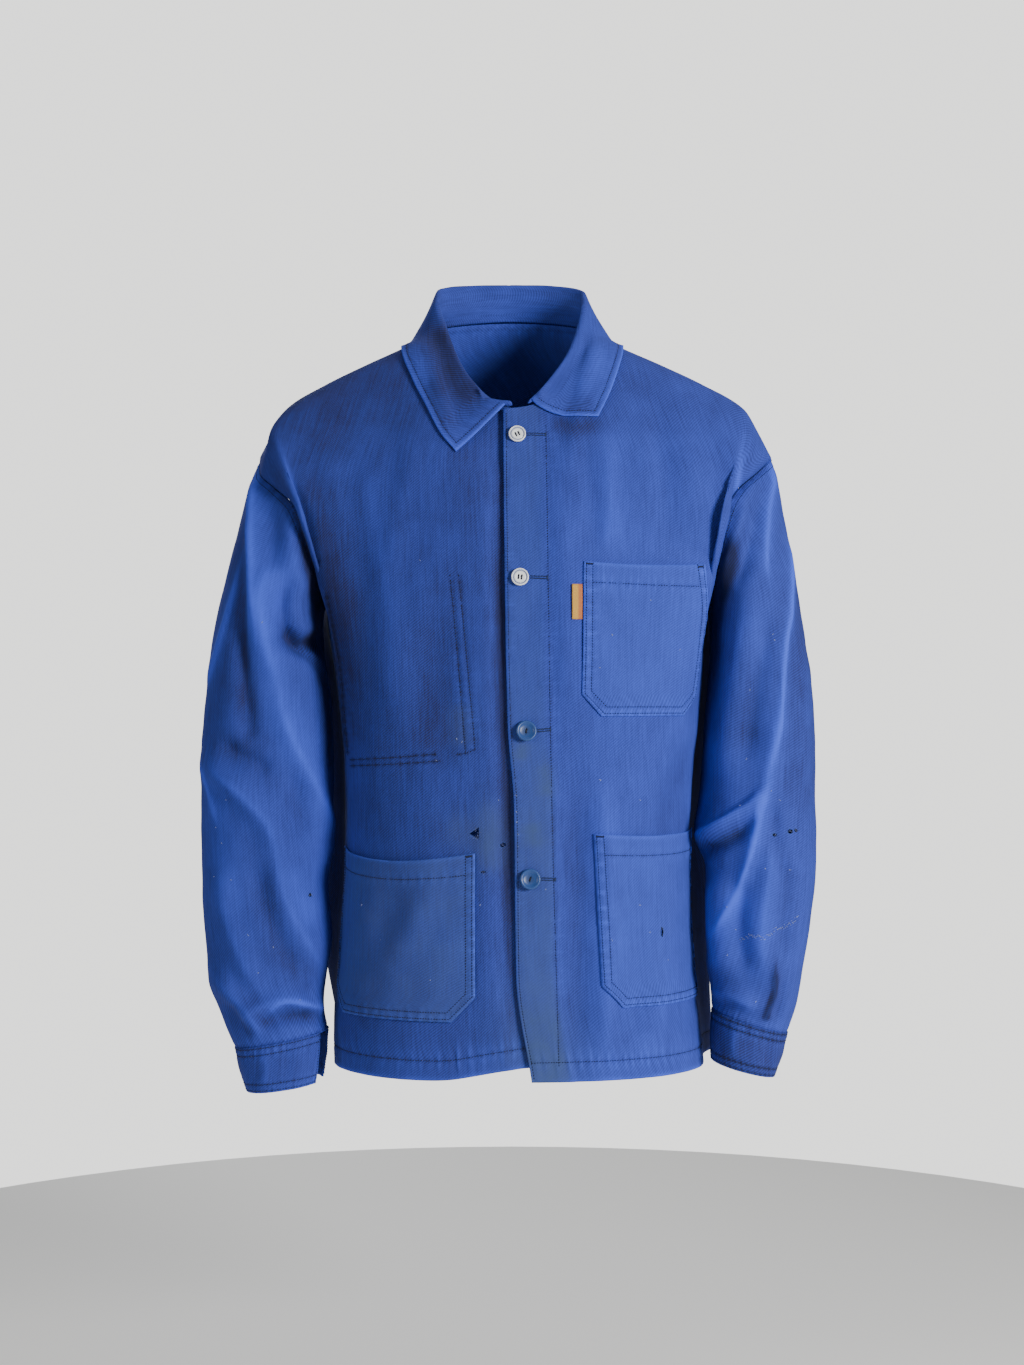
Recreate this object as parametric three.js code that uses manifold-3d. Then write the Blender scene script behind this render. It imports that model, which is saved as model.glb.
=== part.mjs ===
// Chore jacket in blue cotton twill, worn open-necked on a general figure.
// Millimetres, +Z up. The jacket faces -Y, and the wearer's left is +X.
// The origin is the middle of the neck base, level with the tops of the shoulders.

import * as THREE from 'three';
import { mergeVertices } from 'three/addons/utils/BufferGeometryUtils.js';
import Module from 'manifold-3d';

// Driving dimensions

const WALL = 2.0;
const SEAM_GAP = 0.3;
const HEM_Z = -742;
const NECK_POINT_X = 80;
const NECK_POINT_Z = -6;
const NECK_FRONT = { drop: 85, depth: 75 };
const NECK_BACK = { drop: -20, depth: 55 };
const ARMPIT_Z = -280;
const TIP_Z = -132;
const SHOULDER_ROUND = 115;
const SHOULDER_SEAM_Y = -6;
const SHOULDER_CREST = 3.5;
const CREST_REACH = 14;
const CREST_FROM = 0.36;
const SQUARENESS = 2.4;
const ARM_FOLD_AT = 0.88;
const ARM_FOLD_FROM = 0.55;
const ARMHOLE_NEARNESS = 14;
const PLACKET_WIDTH = 42;
const PLACKET_RAISE = 0.6;
const UNDERLAP_DIP = 3.6;
const UNDERLAP_CURVE = 0.003;
const LAP_REACH = 0.28;

// Shoulder line, outward from the neck point

const SHOULDER = [
  { x: 80, z: -6 },
  { x: 110, z: -21 },
  { x: 150, z: -39 },
  { x: 190, z: -58.5 },
  { x: 230, z: -83 },
  { x: 245, z: -107 },
  { x: 258, z: -132 },
];

// Height to distance of the centre front and centre back from the neck axis

const PROFILE = [
  { z: -760, front: 131, back: 133 },
  { z: -600, front: 131, back: 136 },
  { z: -450, front: 130, back: 137 },
  { z: -350, front: 127, back: 136 },
  { z: -260, front: 119, back: 131 },
  { z: -180, front: 104, back: 121 },
  { z: -130, front: 90, back: 110 },
  { z: -91, front: 78, back: 98 },
  { z: -50, front: 68, back: 82 },
  { z: 20, front: 55, back: 56 },
];

// Side seam below the armpit: half widths on the wearer's right and left,
// and how far the cloth beside the armhole stands out as a fold

const SIDE = [
  { z: -760, right: 179, left: 196, fold: 0 },
  { z: -700, right: 180, left: 190, fold: 0 },
  { z: -640, right: 176, left: 182, fold: 0 },
  { z: -545, right: 169, left: 177, fold: 0 },
  { z: -440, right: 170, left: 183, fold: 2 },
  { z: -365, right: 177, left: 192, fold: 10 },
  { z: -305, right: 186, left: 195.5, fold: 20 },
  { z: -280, right: 188, left: 197, fold: 26 },
];

// Armhole seam above the armpit, on the front and back panels

const ARMHOLE = [
  { z: -280, right: 188, left: 197, front: 0, back: 0, fold: 26 },
  { z: -272, right: 189, left: 197.5, front: -28, back: 26, fold: 28 },
  { z: -255, right: 192, left: 199, front: -51, back: 46, fold: 31 },
  { z: -230, right: 198, left: 202, front: -68, back: 60, fold: 34 },
  { z: -205, right: 206, left: 206, front: -73, back: 63, fold: 34 },
  { z: -184, right: 216, left: 213, front: -65, back: 57, fold: 31 },
  { z: -168, right: 234, left: 224, front: -47, back: 45, fold: 24 },
  { z: -150, right: 253, left: 245, front: -20, back: 26, fold: 12 },
  { z: -132, right: 256, left: 264, front: 3, back: 3, fold: 0 },
];

// How far the front edges reach past the centre line at each height

const LAP = [
  { z: -742, over: -19, under: 40 },
  { z: -640, over: -4, under: 34 },
  { z: -480, over: -2, under: 30 },
  { z: -400, over: 4, under: 28 },
  { z: -250, over: 7, under: 24 },
  { z: -90, over: 8.6, under: 20 },
];

// Sleeve sections from the armhole to the cuff seam. z is the middle height of the
// section, lift how much higher its outer edge is, and outer and inner are distances
// from the centre of the jacket.

const SLEEVE_RIGHT = [
  { z: -206, lift: 74, outer: 256, inner: 188, y: -3, depth: 72 },
  { z: -225, lift: 62, outer: 266, inner: 191.5, y: -4, depth: 73 },
  { z: -260, lift: 45, outer: 281.5, inner: 194.5, y: -6, depth: 73 },
  { z: -307, lift: 27, outer: 295.8, inner: 190.5, y: -8, depth: 71 },
  { z: -362, lift: 12, outer: 306, inner: 184, y: -8, depth: 68 },
  { z: -420, lift: 5, outer: 311, inner: 180.5, y: -9, depth: 65 },
  { z: -480, lift: 0, outer: 313, inner: 180, y: -13, depth: 61 },
  { z: -520, lift: -4, outer: 312.5, inner: 177.6, y: -18, depth: 58 },
  { z: -565, lift: -4, outer: 310.5, inner: 185, y: -24, depth: 54 },
  { z: -618, lift: 0, outer: 306.5, inner: 180.5, y: -30, depth: 51 },
  { z: -656, lift: -1, outer: 302.5, inner: 186.5, y: -33, depth: 48 },
  { z: -682, lift: -3, outer: 292, inner: 189, y: -35, depth: 45 },
  { z: -715, lift: -9, outer: 276, inner: 184.5, y: -36, depth: 42 },
];

const SLEEVE_LEFT = [
  { z: -206, lift: 74, outer: 264, inner: 197, y: -3, depth: 72 },
  { z: -225, lift: 62, outer: 271, inner: 200, y: -4, depth: 73 },
  { z: -260, lift: 45, outer: 281, inner: 202, y: -6, depth: 73 },
  { z: -307, lift: 27, outer: 291, inner: 201, y: -8, depth: 71 },
  { z: -362, lift: 12, outer: 299.5, inner: 198, y: -8, depth: 68 },
  { z: -420, lift: 5, outer: 303.5, inner: 193.5, y: -10, depth: 65 },
  { z: -480, lift: 0, outer: 305, inner: 188.5, y: -16, depth: 61 },
  { z: -517, lift: -4, outer: 304, inner: 183, y: -26, depth: 58 },
  { z: -550, lift: -3, outer: 303, inner: 194, y: -30, depth: 54 },
  { z: -600, lift: 0, outer: 297.5, inner: 195, y: -34, depth: 51 },
  { z: -640, lift: -2, outer: 290.5, inner: 195, y: -36, depth: 48 },
  { z: -668, lift: -6, outer: 285, inner: 198, y: -37, depth: 45 },
  { z: -698, lift: -11, outer: 274, inner: 200.5, y: -38, depth: 41 },
];

// Cuffs: bottom section, and where the band's two ends stand, as angles in degrees
// from the outer edge, counted over the front

const CUFF_RIGHT = { z: -760.5, lift: -5.5, outer: 264, inner: 190, y: -37, depth: 41, from: 150, to: -172 };
const CUFF_LEFT = { z: -743, lift: -8, outer: 261, inner: 199.5, y: -39, depth: 39, from: 200, to: -128 };
const CUFF_STAND_OUT = 1.0;

// Collar stations on each side, from the front end to the centre back. neck is the
// place on the neckline as a share of its half length, and roll and edge are points.

const COLLAR_RIGHT = [
  { neck: 0.02, roll: [-4, -78.5, -90], edge: [-54.7, -88.5, -136] },
  { neck: 0.22, roll: [-24.6, -70, -80], edge: [-70, -81, -117] },
  { neck: 0.42, roll: [-42, -58, -62], edge: [-85, -68, -87] },
  { neck: 0.62, roll: [-57, -41, -37], edge: [-99, -50, -59] },
  { neck: 0.82, roll: [-69, -20, -4], edge: [-107, -22, -36] },
  { neck: 1.0, roll: [-77, 2, 24], edge: [-108, 8, -20] },
  { neck: 1.25, roll: [-76, 28, 41], edge: [-97, 46, -14] },
  { neck: 1.5, roll: [-57, 48, 49], edge: [-74, 72, -11] },
  { neck: 1.75, roll: [-30, 59, 52], edge: [-39, 86, -8] },
  { neck: 2.0, roll: [0, 62, 53], edge: [0, 90, -6] },
];

const COLLAR_LEFT = [
  { neck: 0.25, roll: [19.5, -76, -84.5], edge: [84.7, -75, -98.5] },
  { neck: 0.36, roll: [31, -66, -72], edge: [91, -69, -86] },
  { neck: 0.5, roll: [44, -54, -55], edge: [99, -59, -68] },
  { neck: 0.68, roll: [59, -37, -31], edge: [105, -43, -50] },
  { neck: 0.85, roll: [69, -17, -4], edge: [108.5, -20, -34] },
  { neck: 1.0, roll: [74.5, 2, 22], edge: [108.5, 8, -20] },
  { neck: 1.25, roll: [74, 28, 39], edge: [97, 46, -14] },
  { neck: 1.5, roll: [57, 48, 48], edge: [74, 72, -11] },
  { neck: 1.75, roll: [30, 59, 52], edge: [39, 86, -8] },
  { neck: 2.0, roll: [0, 62, 53], edge: [0, 90, -6] },
];

const COLLAR_BEND = 4;
const COLLAR_WALL = 1.8;
const COLLAR_CLEAR = 1.7;
const LEAF_FROM = 5;
const LEAF_SMOOTHING = 3;
const COLLAR_STEPS = 13;
const LEAST_STAND = 6;

// Pockets: inner edge and size of the patch, with the lower corners cut off.
// out is the distance from the centre line to the inner edge at the mouth.

const POCKETS = [
  { name: 'chest_pocket', side: 1, out: 68.4, mouth: -243.5, width: 136, height: 149,
    cut: 21, slope: -0.035, lean: -0.015, sag: 0, lay: 0.9 },
  { name: 'lower_pocket_left', side: 1, out: 78, mouth: -505, width: 160, height: 168,
    cut: 22, slope: 0, lean: 0.05, sag: 4, lay: 0.9 },
  { name: 'lower_pocket_right', side: -1, out: 35, mouth: -523, width: 176, height: 162,
    cut: 24, slope: 0, lean: 0, sag: 9, lay: 1.6 },
  { name: 'inner_chest_pocket', side: -1, out: 44, mouth: -257, width: 140, height: 183,
    cut: 6, slope: 0.02, lean: -0.08, sag: 0, lay: -4.0 },
];
const POCKET_WALL = 1.2;
const POCKET_ROWS = 9;

const TAB = { out: 57.4, top: -265.5, width: 9.8, height: 34, wall: 0.8, lay: 0.5 };

const BUTTONS = [
  { name: 'button_1', x: 4.8, z: -114.5, diameter: 18, kind: 'white' },
  { name: 'button_2', x: 7.6, z: -259, diameter: 18, kind: 'white' },
  { name: 'button_3', x: 13.4, z: -406.5, diameter: 20, kind: 'blue' },
  { name: 'button_4', x: 17.2, z: -547.8, diameter: 20, kind: 'blue' },
];
const BUTTON_THICK = 3.2;
const BUTTON_LIFT = 0.9;

// The torn place on the wearer's right front, cut right through

const TEAR = [
  { x: -39.5, z: -501.5 },
  { x: -28, z: -498.5 },
  { x: -34.5, z: -511 },
];

// Largest folds. Each runs along its path of x and z on the front or back of a piece
// and stands out by height, or dips where height is below nought.

const FOLDS = [
  { on: 'front', width: 20, height: -4, path: [[63, -480], [64, -600], [62, -730]] },
  { on: 'front', width: 24, height: 4, path: [[92, -520], [92, -640], [90, -735]] },
  { on: 'front', width: 34, height: -3, path: [[-66, -260], [-70, -360], [-60, -430]] },
  { on: 'front', width: 20, height: 3, path: [[-78, -560], [-100, -610], [-115, -640]] },
  { on: 'front', width: 26, height: 3, path: [[52, -200], [56, -330], [58, -420]] },
  { on: 'back', width: 40, height: 5, path: [[-120, -190], [-100, -420], [-95, -700]] },
  { on: 'back', width: 40, height: 5, path: [[118, -190], [104, -430], [98, -700]] },
  { on: 'back', width: 36, height: -5, path: [[-35, -300], [-30, -520], [-38, -735]] },
  { on: 'back', width: 36, height: -5, path: [[48, -330], [40, -540], [46, -735]] },
  { on: 'sleeve_right_front', width: 13, height: 4, path: [[-257, -165], [-262, -250], [-264, -330]] },
  { on: 'sleeve_right_front', width: 17, height: -7, path: [[-212, -283], [-236, -300], [-262, -330]] },
  { on: 'sleeve_right_front', width: 15, height: 6, path: [[-229, -312], [-205, -340], [-186, -372]] },
  { on: 'sleeve_right_front', width: 19, height: 6, path: [[-235, -385], [-207, -430], [-182, -510]] },
  { on: 'sleeve_right_front', width: 18, height: 6, path: [[-306, -430], [-280, -465], [-236, -525]] },
  { on: 'sleeve_right_front', width: 14, height: -5, path: [[-290, -432], [-262, -452], [-240, -500]] },
  { on: 'sleeve_right_front', width: 17, height: 5, path: [[-234, -560], [-216, -605], [-192, -640]] },
  { on: 'sleeve_right_front', width: 15, height: 5, path: [[-300, -655], [-276, -682], [-254, -712]] },
  { on: 'sleeve_right_front', width: 14, height: -4, path: [[-268, -690], [-232, -680], [-200, -700]] },
  { on: 'sleeve_left_front', width: 13, height: 4, path: [[261, -150], [263, -210], [259, -265]] },
  { on: 'sleeve_left_front', width: 18, height: -6, path: [[247, -170], [236, -220], [220, -262]] },
  { on: 'sleeve_left_front', width: 14, height: 5, path: [[281, -205], [280, -300], [262, -450]] },
  { on: 'sleeve_left_front', width: 14, height: 7, path: [[180, -512], [212, -500], [246, -475]] },
  { on: 'sleeve_left_front', width: 15, height: -6, path: [[192, -535], [218, -520], [250, -500]] },
  { on: 'sleeve_left_front', width: 17, height: 5, path: [[214, -560], [206, -610], [222, -650]] },
  { on: 'sleeve_left_front', width: 13, height: -5, path: [[205, -678], [230, -690], [252, -700]] },
  { on: 'sleeve_left_front', width: 14, height: 5, path: [[262, -650], [256, -672], [253, -692]] },
  { on: 'sleeve_right_back', width: 20, height: 6, path: [[-215, -300], [-240, -340], [-275, -390]] },
  { on: 'sleeve_right_back', width: 18, height: -5, path: [[-205, -420], [-240, -440], [-290, -470]] },
  { on: 'sleeve_right_back', width: 20, height: 6, path: [[-300, -480], [-260, -540], [-240, -620]] },
  { on: 'sleeve_right_back', width: 16, height: -5, path: [[-280, -640], [-240, -680], [-215, -705]] },
  { on: 'sleeve_left_back', width: 20, height: 6, path: [[222, -310], [246, -350], [276, -400]] },
  { on: 'sleeve_left_back', width: 18, height: -5, path: [[212, -430], [240, -450], [288, -480]] },
  { on: 'sleeve_left_back', width: 20, height: 6, path: [[292, -500], [258, -560], [240, -630]] },
  { on: 'sleeve_left_back', width: 16, height: -5, path: [[262, -650], [236, -670], [216, -690]] },
];

// Grid lines. Columns run from the centre (0) to the side seam (1), and rows from
// the hem (0) to the shoulder (1).

const NECK_SHARE = 0.3;
const OUTER_COLUMNS = [0.38, 0.47, 0.56, 0.65, 0.74, 0.82, 0.88, 0.94, 1];
const FRONT_COLUMNS = [0, 0.08, 0.15, 0.21, 0.255, 0.285, NECK_SHARE, ...OUTER_COLUMNS];
const BACK_COLUMNS = [0, 0.12, 0.21, 0.27, NECK_SHARE, ...OUTER_COLUMNS];
const ARMPIT_SHARE = (ARMPIT_Z - HEM_Z) / (TIP_Z - HEM_Z);
const ROWS_BELOW = 12;
const ROWS_ABOVE = [0.78, 0.815, 0.858, 0.898, 0.932, 0.96, 0.98, 0.993, 1];
const SLEEVE_RINGS = 18;

// Small maths helpers

const mix = (a, b, share) => a + (b - a) * share;
const clamp01 = (value) => Math.min(Math.max(value, 0), 1);
const smooth = (value) => clamp01(value) ** 2 * (3 - 2 * clamp01(value));
const vec = (x, y, z) => new THREE.Vector3(x, y, z);

// Smooth curve through one column of a table, read against its key column
function along(table, column, at, key = 'z') {
  const rows = table[0][key] < table[table.length - 1][key] ? table : [...table].reverse();
  const last = rows.length - 1;
  if (at <= rows[0][key]) return rows[0][column];
  if (at >= rows[last][key]) return rows[last][column];
  let low = 0;
  while (rows[low + 1][key] < at) low += 1;
  const rise = (i) => (rows[i + 1][column] - rows[i][column]) / (rows[i + 1][key] - rows[i][key]);
  const tangent = (i) => {
    if (i === 0) return rise(0);
    if (i === last) return rise(last - 1);
    const before = rise(i - 1);
    const after = rise(i);
    return before * after > 0 ? (2 * before * after) / (before + after) : 0;
  };
  const span = rows[low + 1][key] - rows[low][key];
  const u = (at - rows[low][key]) / span;
  const bend = u * u * (3 - 2 * u);
  return mix(rows[low][column], rows[low + 1][column], bend)
    + span * (tangent(low) * u * (1 - u) ** 2 - tangent(low + 1) * u * u * (1 - u));
}

// Share of a fold's height that a point at x and z takes
function foldShare(fold, x, z) {
  let best = Infinity;
  let place = 0;
  const pieces = fold.path.length - 1;
  for (let i = 0; i < pieces; i += 1) {
    const [ax, az] = fold.path[i];
    const [bx, bz] = fold.path[i + 1];
    const run = clamp01(((x - ax) * (bx - ax) + (z - az) * (bz - az)) / ((bx - ax) ** 2 + (bz - az) ** 2));
    const distance = Math.hypot(x - mix(ax, bx, run), z - mix(az, bz, run));
    if (distance < best) {
      best = distance;
      place = (i + run) / pieces;
    }
  }
  const taper = smooth(place / 0.25) * smooth((1 - place) / 0.25) * 0.75 + 0.25;
  return Math.exp(-((best / fold.width) ** 2) * 1.6) * taper;
}

function foldHeight(place, x, z) {
  return FOLDS.filter((fold) => fold.on === place)
    .reduce((sum, fold) => sum + fold.height * foldShare(fold, x, z), 0);
}

// Body panels. side is -1 on the wearer's right and 1 on the left.

const sideName = (side) => (side < 0 ? 'right' : 'left');

function seamAt(side, z, face) {
  const name = sideName(side);
  if (z <= ARMPIT_Z) return { x: along(SIDE, name, z), y: 0, fold: along(SIDE, 'fold', z) };
  return { x: along(ARMHOLE, name, z), y: along(ARMHOLE, face, z), fold: along(ARMHOLE, 'fold', z) };
}

function topEdge(side, column, face) {
  const reach = seamAt(side, TIP_Z, face).x;
  const neck = face === 'front' ? NECK_FRONT : NECK_BACK;
  if (column <= NECK_SHARE) {
    const round = Math.sqrt(1 - (column / NECK_SHARE) ** 2);
    const depth = face === 'front' ? -neck.depth : neck.depth;
    return {
      x: (NECK_POINT_X * column) / NECK_SHARE,
      y: mix(SHOULDER_SEAM_Y, depth, round),
      z: NECK_POINT_Z - neck.drop * round,
    };
  }
  const out = (column - NECK_SHARE) / (1 - NECK_SHARE);
  const x = mix(NECK_POINT_X, reach, out);
  const tableX = mix(NECK_POINT_X, SHOULDER[SHOULDER.length - 1].x, out);
  const tipY = seamAt(side, TIP_Z, face).y;
  const y = mix(SHOULDER_SEAM_Y, tipY, smooth((out - 0.8) / 0.2));
  return { x, y, z: along(SHOULDER, 'z', tableX, 'x') };
}

function hemAt(side, column, face) {
  const lifted = face === 'front' && side < 0 ? 14 * Math.exp(-((column / 0.22) ** 2)) : 0;
  return HEM_Z + lifted;
}

function bodyPoint(side, column, row, face) {
  const top = topEdge(side, column, face);
  const hem = hemAt(side, column, face);
  let z = mix(hem, top.z, row);
  const sideZ = mix(HEM_Z, TIP_Z, row);
  const seam = seamAt(side, sideZ, face);
  const drop = top.z - z;
  const foldRise = column < ARM_FOLD_AT
    ? smooth((column - ARM_FOLD_FROM) / (ARM_FOLD_AT - ARM_FOLD_FROM))
    : smooth((1 - column) / (1 - ARM_FOLD_AT));
  const upper = smooth((row - 0.8) / 0.2);
  const across = mix(column, top.x / seamAt(side, TIP_Z, face).x, upper);
  let x = seam.x * across + seam.fold * foldRise * (face === 'front' ? 1 : 0.8);
  const round = (1 - clamp01(column) ** SQUARENESS) ** (1 / SQUARENESS);
  const centre = along(PROFILE, face, z) * (face === 'front' ? -1 : 1);
  const swell = centre * round + seam.y * column ** ARMHOLE_NEARNESS;
  const reach = Math.max(SHOULDER_ROUND * (1 - column ** 6), 1);
  const over = Math.sqrt(1 - (1 - clamp01(drop / reach)) ** 2);
  let y = mix(top.y, swell, over);
  if (face === 'back') {
    const near = drop / CREST_REACH;
    const crest = SHOULDER_CREST * near * Math.exp(1 - near);
    z += crest * smooth((column - CREST_FROM) / 0.1) * smooth((1 - column) / 0.08);
  }
  if (face === 'front') {
    const lap = along(LAP, side > 0 ? 'over' : 'under', z);
    x -= lap * (1 - Math.min(column / LAP_REACH, 1)) ** 2;
  }
  x *= side;
  const lift = foldHeight(face, x, z) * smooth((1 - column) / 0.15) * smooth(drop / 60);
  y += face === 'front' ? -lift : lift;
  if (face === 'front' && side > 0) {
    const fromEdge = x + along(LAP, 'over', z);
    y -= PLACKET_RAISE * (1 - smooth((fromEdge - PLACKET_WIDTH + 4) / 8));
  }
  if (face === 'front' && side < 0) {
    const toEdge = x + along(LAP, 'over', z);
    y += UNDERLAP_DIP * smooth((toEdge + 22) / 18) + UNDERLAP_CURVE * Math.max(toEdge, 0) ** 2;
  }
  return vec(x, y, z);
}

const rowShares = [];
for (let i = 0; i <= ROWS_BELOW; i += 1) rowShares.push((ARMPIT_SHARE * i) / ROWS_BELOW);
rowShares.push(...ROWS_ABOVE);

function frontGrid(side) {
  return rowShares.map((row) => FRONT_COLUMNS.map((column) => bodyPoint(side, column, row, 'front')));
}

function backGrid() {
  const line = (row) => [
    ...[...BACK_COLUMNS].reverse().map((column) => bodyPoint(-1, column, row, 'back')),
    ...BACK_COLUMNS.slice(1).map((column) => bodyPoint(1, column, row, 'back')),
  ];
  return rowShares.map(line);
}

// Sleeves

function armholeLoop(side) {
  const upper = rowShares.filter((row) => row >= ARMPIT_SHARE - 1e-9);
  const front = [...upper].reverse().map((row) => bodyPoint(side, 1, row, 'front'));
  const back = upper.slice(1, -1).map((row) => bodyPoint(side, 1, row, 'back'));
  return [...front, ...back];
}

// Angles round a ring, from the outer edge over the front to the inner edge and back
function loopAngles(loop) {
  const half = loop.length / 2;
  const steps = loop.map((point, i) => point.distanceTo(loop[(i + 1) % loop.length]));
  const total = (from) => steps.slice(from, from + half).reduce((sum, step) => sum + step, 0);
  const angles = [];
  for (let i = 0; i < loop.length; i += 1) {
    const start = i < half ? 0 : half;
    const walked = steps.slice(start, i).reduce((sum, step) => sum + step, 0);
    angles.push(((i < half ? 0 : Math.PI) + (Math.PI * walked) / total(start)));
  }
  return angles;
}

function ringPoint(side, section, angle, squareness = 2.2) {
  const power = 2 / squareness;
  const c = Math.sign(Math.cos(angle)) * Math.abs(Math.cos(angle)) ** power;
  const s = Math.sign(Math.sin(angle)) * Math.abs(Math.sin(angle)) ** power;
  const middle = (section.outer + section.inner) / 2;
  const half = (section.outer - section.inner) / 2;
  return vec(side * (middle + half * c), section.y - section.depth * s, section.z + section.lift * c);
}

function sleeveSection(table, z) {
  const section = { z };
  for (const name of ['lift', 'outer', 'inner', 'y', 'depth']) section[name] = along(table, name, z);
  return section;
}

function sleeveGrid(side) {
  const table = side < 0 ? SLEEVE_RIGHT : SLEEVE_LEFT;
  const loop = armholeLoop(side);
  const angles = loopAngles(loop);
  const top = table[0].z;
  const bottom = table[table.length - 1].z;
  const grid = [];
  for (let ring = 0; ring <= SLEEVE_RINGS; ring += 1) {
    const share = ring / SLEEVE_RINGS;
    const section = sleeveSection(table, mix(top, bottom, share));
    const taken = 1 - (1 - clamp01(share / 0.28)) ** 2;
    const line = loop.map((point, i) => {
      const angle = mix(angles[i], (2 * Math.PI * i) / loop.length, smooth(share / 0.5));
      const target = ringPoint(side, section, angle);
      const place = `sleeve_${sideName(side)}_${Math.sin(angle) >= 0 ? 'front' : 'back'}`;
      const facing = smooth(Math.abs(Math.sin(angle)) / 0.5);
      const ends = smooth(share / 0.08) * smooth((1 - share) / 0.04);
      const lift = foldHeight(place, target.x, target.z) * facing * ends;
      const middle = (side * (section.outer + section.inner)) / 2;
      const away = vec(target.x - middle, target.y - section.y, 0).normalize();
      target.addScaledVector(away, lift);
      return point.clone().lerp(target, taken);
    });
    grid.push(line);
  }
  return grid;
}

// Sheets: the outer points of a piece, and the wall behind them

function gridNormals(grid, closed, turn) {
  const rows = grid.length;
  const columns = grid[0].length;
  return grid.map((line, r) => line.map((point, c) => {
    const up = grid[Math.min(r + 1, rows - 1)][c].clone().sub(grid[Math.max(r - 1, 0)][c]);
    const left = closed ? (c + columns - 1) % columns : Math.max(c - 1, 0);
    const right = closed ? (c + 1) % columns : Math.min(c + 1, columns - 1);
    const acrossward = grid[r][right].clone().sub(grid[r][left]);
    return acrossward.cross(up).multiplyScalar(turn).normalize();
  }));
}

const seamNormals = new Map();
const seamKey = (point) => [point.x, point.y, point.z].map((value) => Math.round(value * 20)).join(' ');

function noteSeams(sheet) {
  const { grid, normals } = sheet;
  grid.forEach((line, r) => line.forEach((point, c) => {
    const onEnd = r === 0 || r === grid.length - 1;
    const onSide = !sheet.closed && (c === 0 || c === line.length - 1);
    if (!onEnd && !onSide) return;
    const key = seamKey(point);
    if (!seamNormals.has(key)) seamNormals.set(key, []);
    seamNormals.get(key).push(normals[r][c]);
  }));
}

function sharedNormal(sheet, r, c) {
  const own = sheet.normals[r][c];
  const met = seamNormals.get(seamKey(sheet.grid[r][c]));
  if (!met || met.length < 2) return own;
  const sum = met.reduce((total, normal) => total.add(normal), vec(0, 0, 0)).divideScalar(met.length);
  const agree = smooth((sum.length() - 0.5) / 0.3);
  return own.clone().lerp(sum.normalize(), agree).normalize();
}

function makeSheet(name, grid, { closed = false, turn = 1 } = {}) {
  const sheet = { name, grid, closed, normals: gridNormals(grid, closed, turn) };
  noteSeams(sheet);
  return sheet;
}

// Step from an edge point into the sheet, square to the edge
function inward(point, next, before, after) {
  const edge = after.clone().sub(before).normalize();
  const step = next.clone().sub(point);
  return step.addScaledVector(edge, -step.dot(edge)).normalize();
}

// Outer and inner points of a sheet, drawn back from its edges by half a seam gap
function wallPoints(sheet, wall) {
  const { grid, closed } = sheet;
  const rows = grid.length;
  const columns = grid[0].length;
  const outer = [];
  const inner = [];
  for (let r = 0; r < rows; r += 1) {
    outer.push([]);
    inner.push([]);
    const [below, above] = [Math.max(r - 1, 0), Math.min(r + 1, rows - 1)];
    for (let c = 0; c < columns; c += 1) {
      const point = grid[r][c];
      const left = closed ? (c + columns - 1) % columns : Math.max(c - 1, 0);
      const right = closed ? (c + 1) % columns : Math.min(c + 1, columns - 1);
      const shift = vec(0, 0, 0);
      if (r === 0) shift.add(inward(point, grid[1][c], grid[r][left], grid[r][right]));
      if (r === rows - 1) shift.add(inward(point, grid[rows - 2][c], grid[r][left], grid[r][right]));
      if (!closed && c === 0) shift.add(inward(point, grid[r][1], grid[below][c], grid[above][c]));
      if (!closed && c === columns - 1) {
        shift.add(inward(point, grid[r][columns - 2], grid[below][c], grid[above][c]));
      }
      const moved = point.clone().addScaledVector(shift, SEAM_GAP / 2);
      outer[r].push(moved);
      inner[r].push(moved.clone().addScaledVector(sharedNormal(sheet, r, c), -wall));
    }
  }
  return { outer, inner };
}

// Closed solid between two grids of points of the same size
function solidBetween(outer, inner, closed = false) {
  const rows = outer.length;
  const columns = outer[0].length;
  const positions = [];
  const index = [];
  for (const point of [...outer.flat(), ...inner.flat()]) positions.push(point.x, point.y, point.z);
  const at = (layer, r, c) => layer * rows * columns + r * columns + (c % columns);
  const quad = (a, b, c, d) => index.push(a, b, c, a, c, d);
  const height = (i) => positions[3 * i] * 0.37 + positions[3 * i + 1] * 0.61 + positions[3 * i + 2];
  const endQuad = (a, b, c, d) => {
    const outerEnd = a < rows * columns && d < rows * columns ? d : b;
    if (height(a) > height(outerEnd) === (outerEnd === b)) quad(a, b, c, d);
    else quad(b, c, d, a);
  };
  const cells = closed ? columns : columns - 1;
  for (let r = 0; r < rows - 1; r += 1) {
    for (let c = 0; c < cells; c += 1) {
      quad(at(0, r, c), at(0, r, c + 1), at(0, r + 1, c + 1), at(0, r + 1, c));
      quad(at(1, r, c), at(1, r + 1, c), at(1, r + 1, c + 1), at(1, r, c + 1));
    }
  }
  for (let c = 0; c < cells; c += 1) {
    endQuad(at(0, 0, c), at(1, 0, c), at(1, 0, c + 1), at(0, 0, c + 1));
    endQuad(at(0, rows - 1, c), at(0, rows - 1, c + 1), at(1, rows - 1, c + 1), at(1, rows - 1, c));
  }
  if (!closed) {
    const end = columns - 1;
    for (let r = 0; r < rows - 1; r += 1) {
      endQuad(at(0, r, 0), at(0, r + 1, 0), at(1, r + 1, 0), at(1, r, 0));
      endQuad(at(0, r, end), at(1, r, end), at(1, r + 1, end), at(0, r + 1, end));
    }
  }
  const geometry = new THREE.BufferGeometry();
  geometry.setAttribute('position', new THREE.Float32BufferAttribute(positions, 3));
  geometry.setIndex(index);
  return facingOut(geometry);
}

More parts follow.
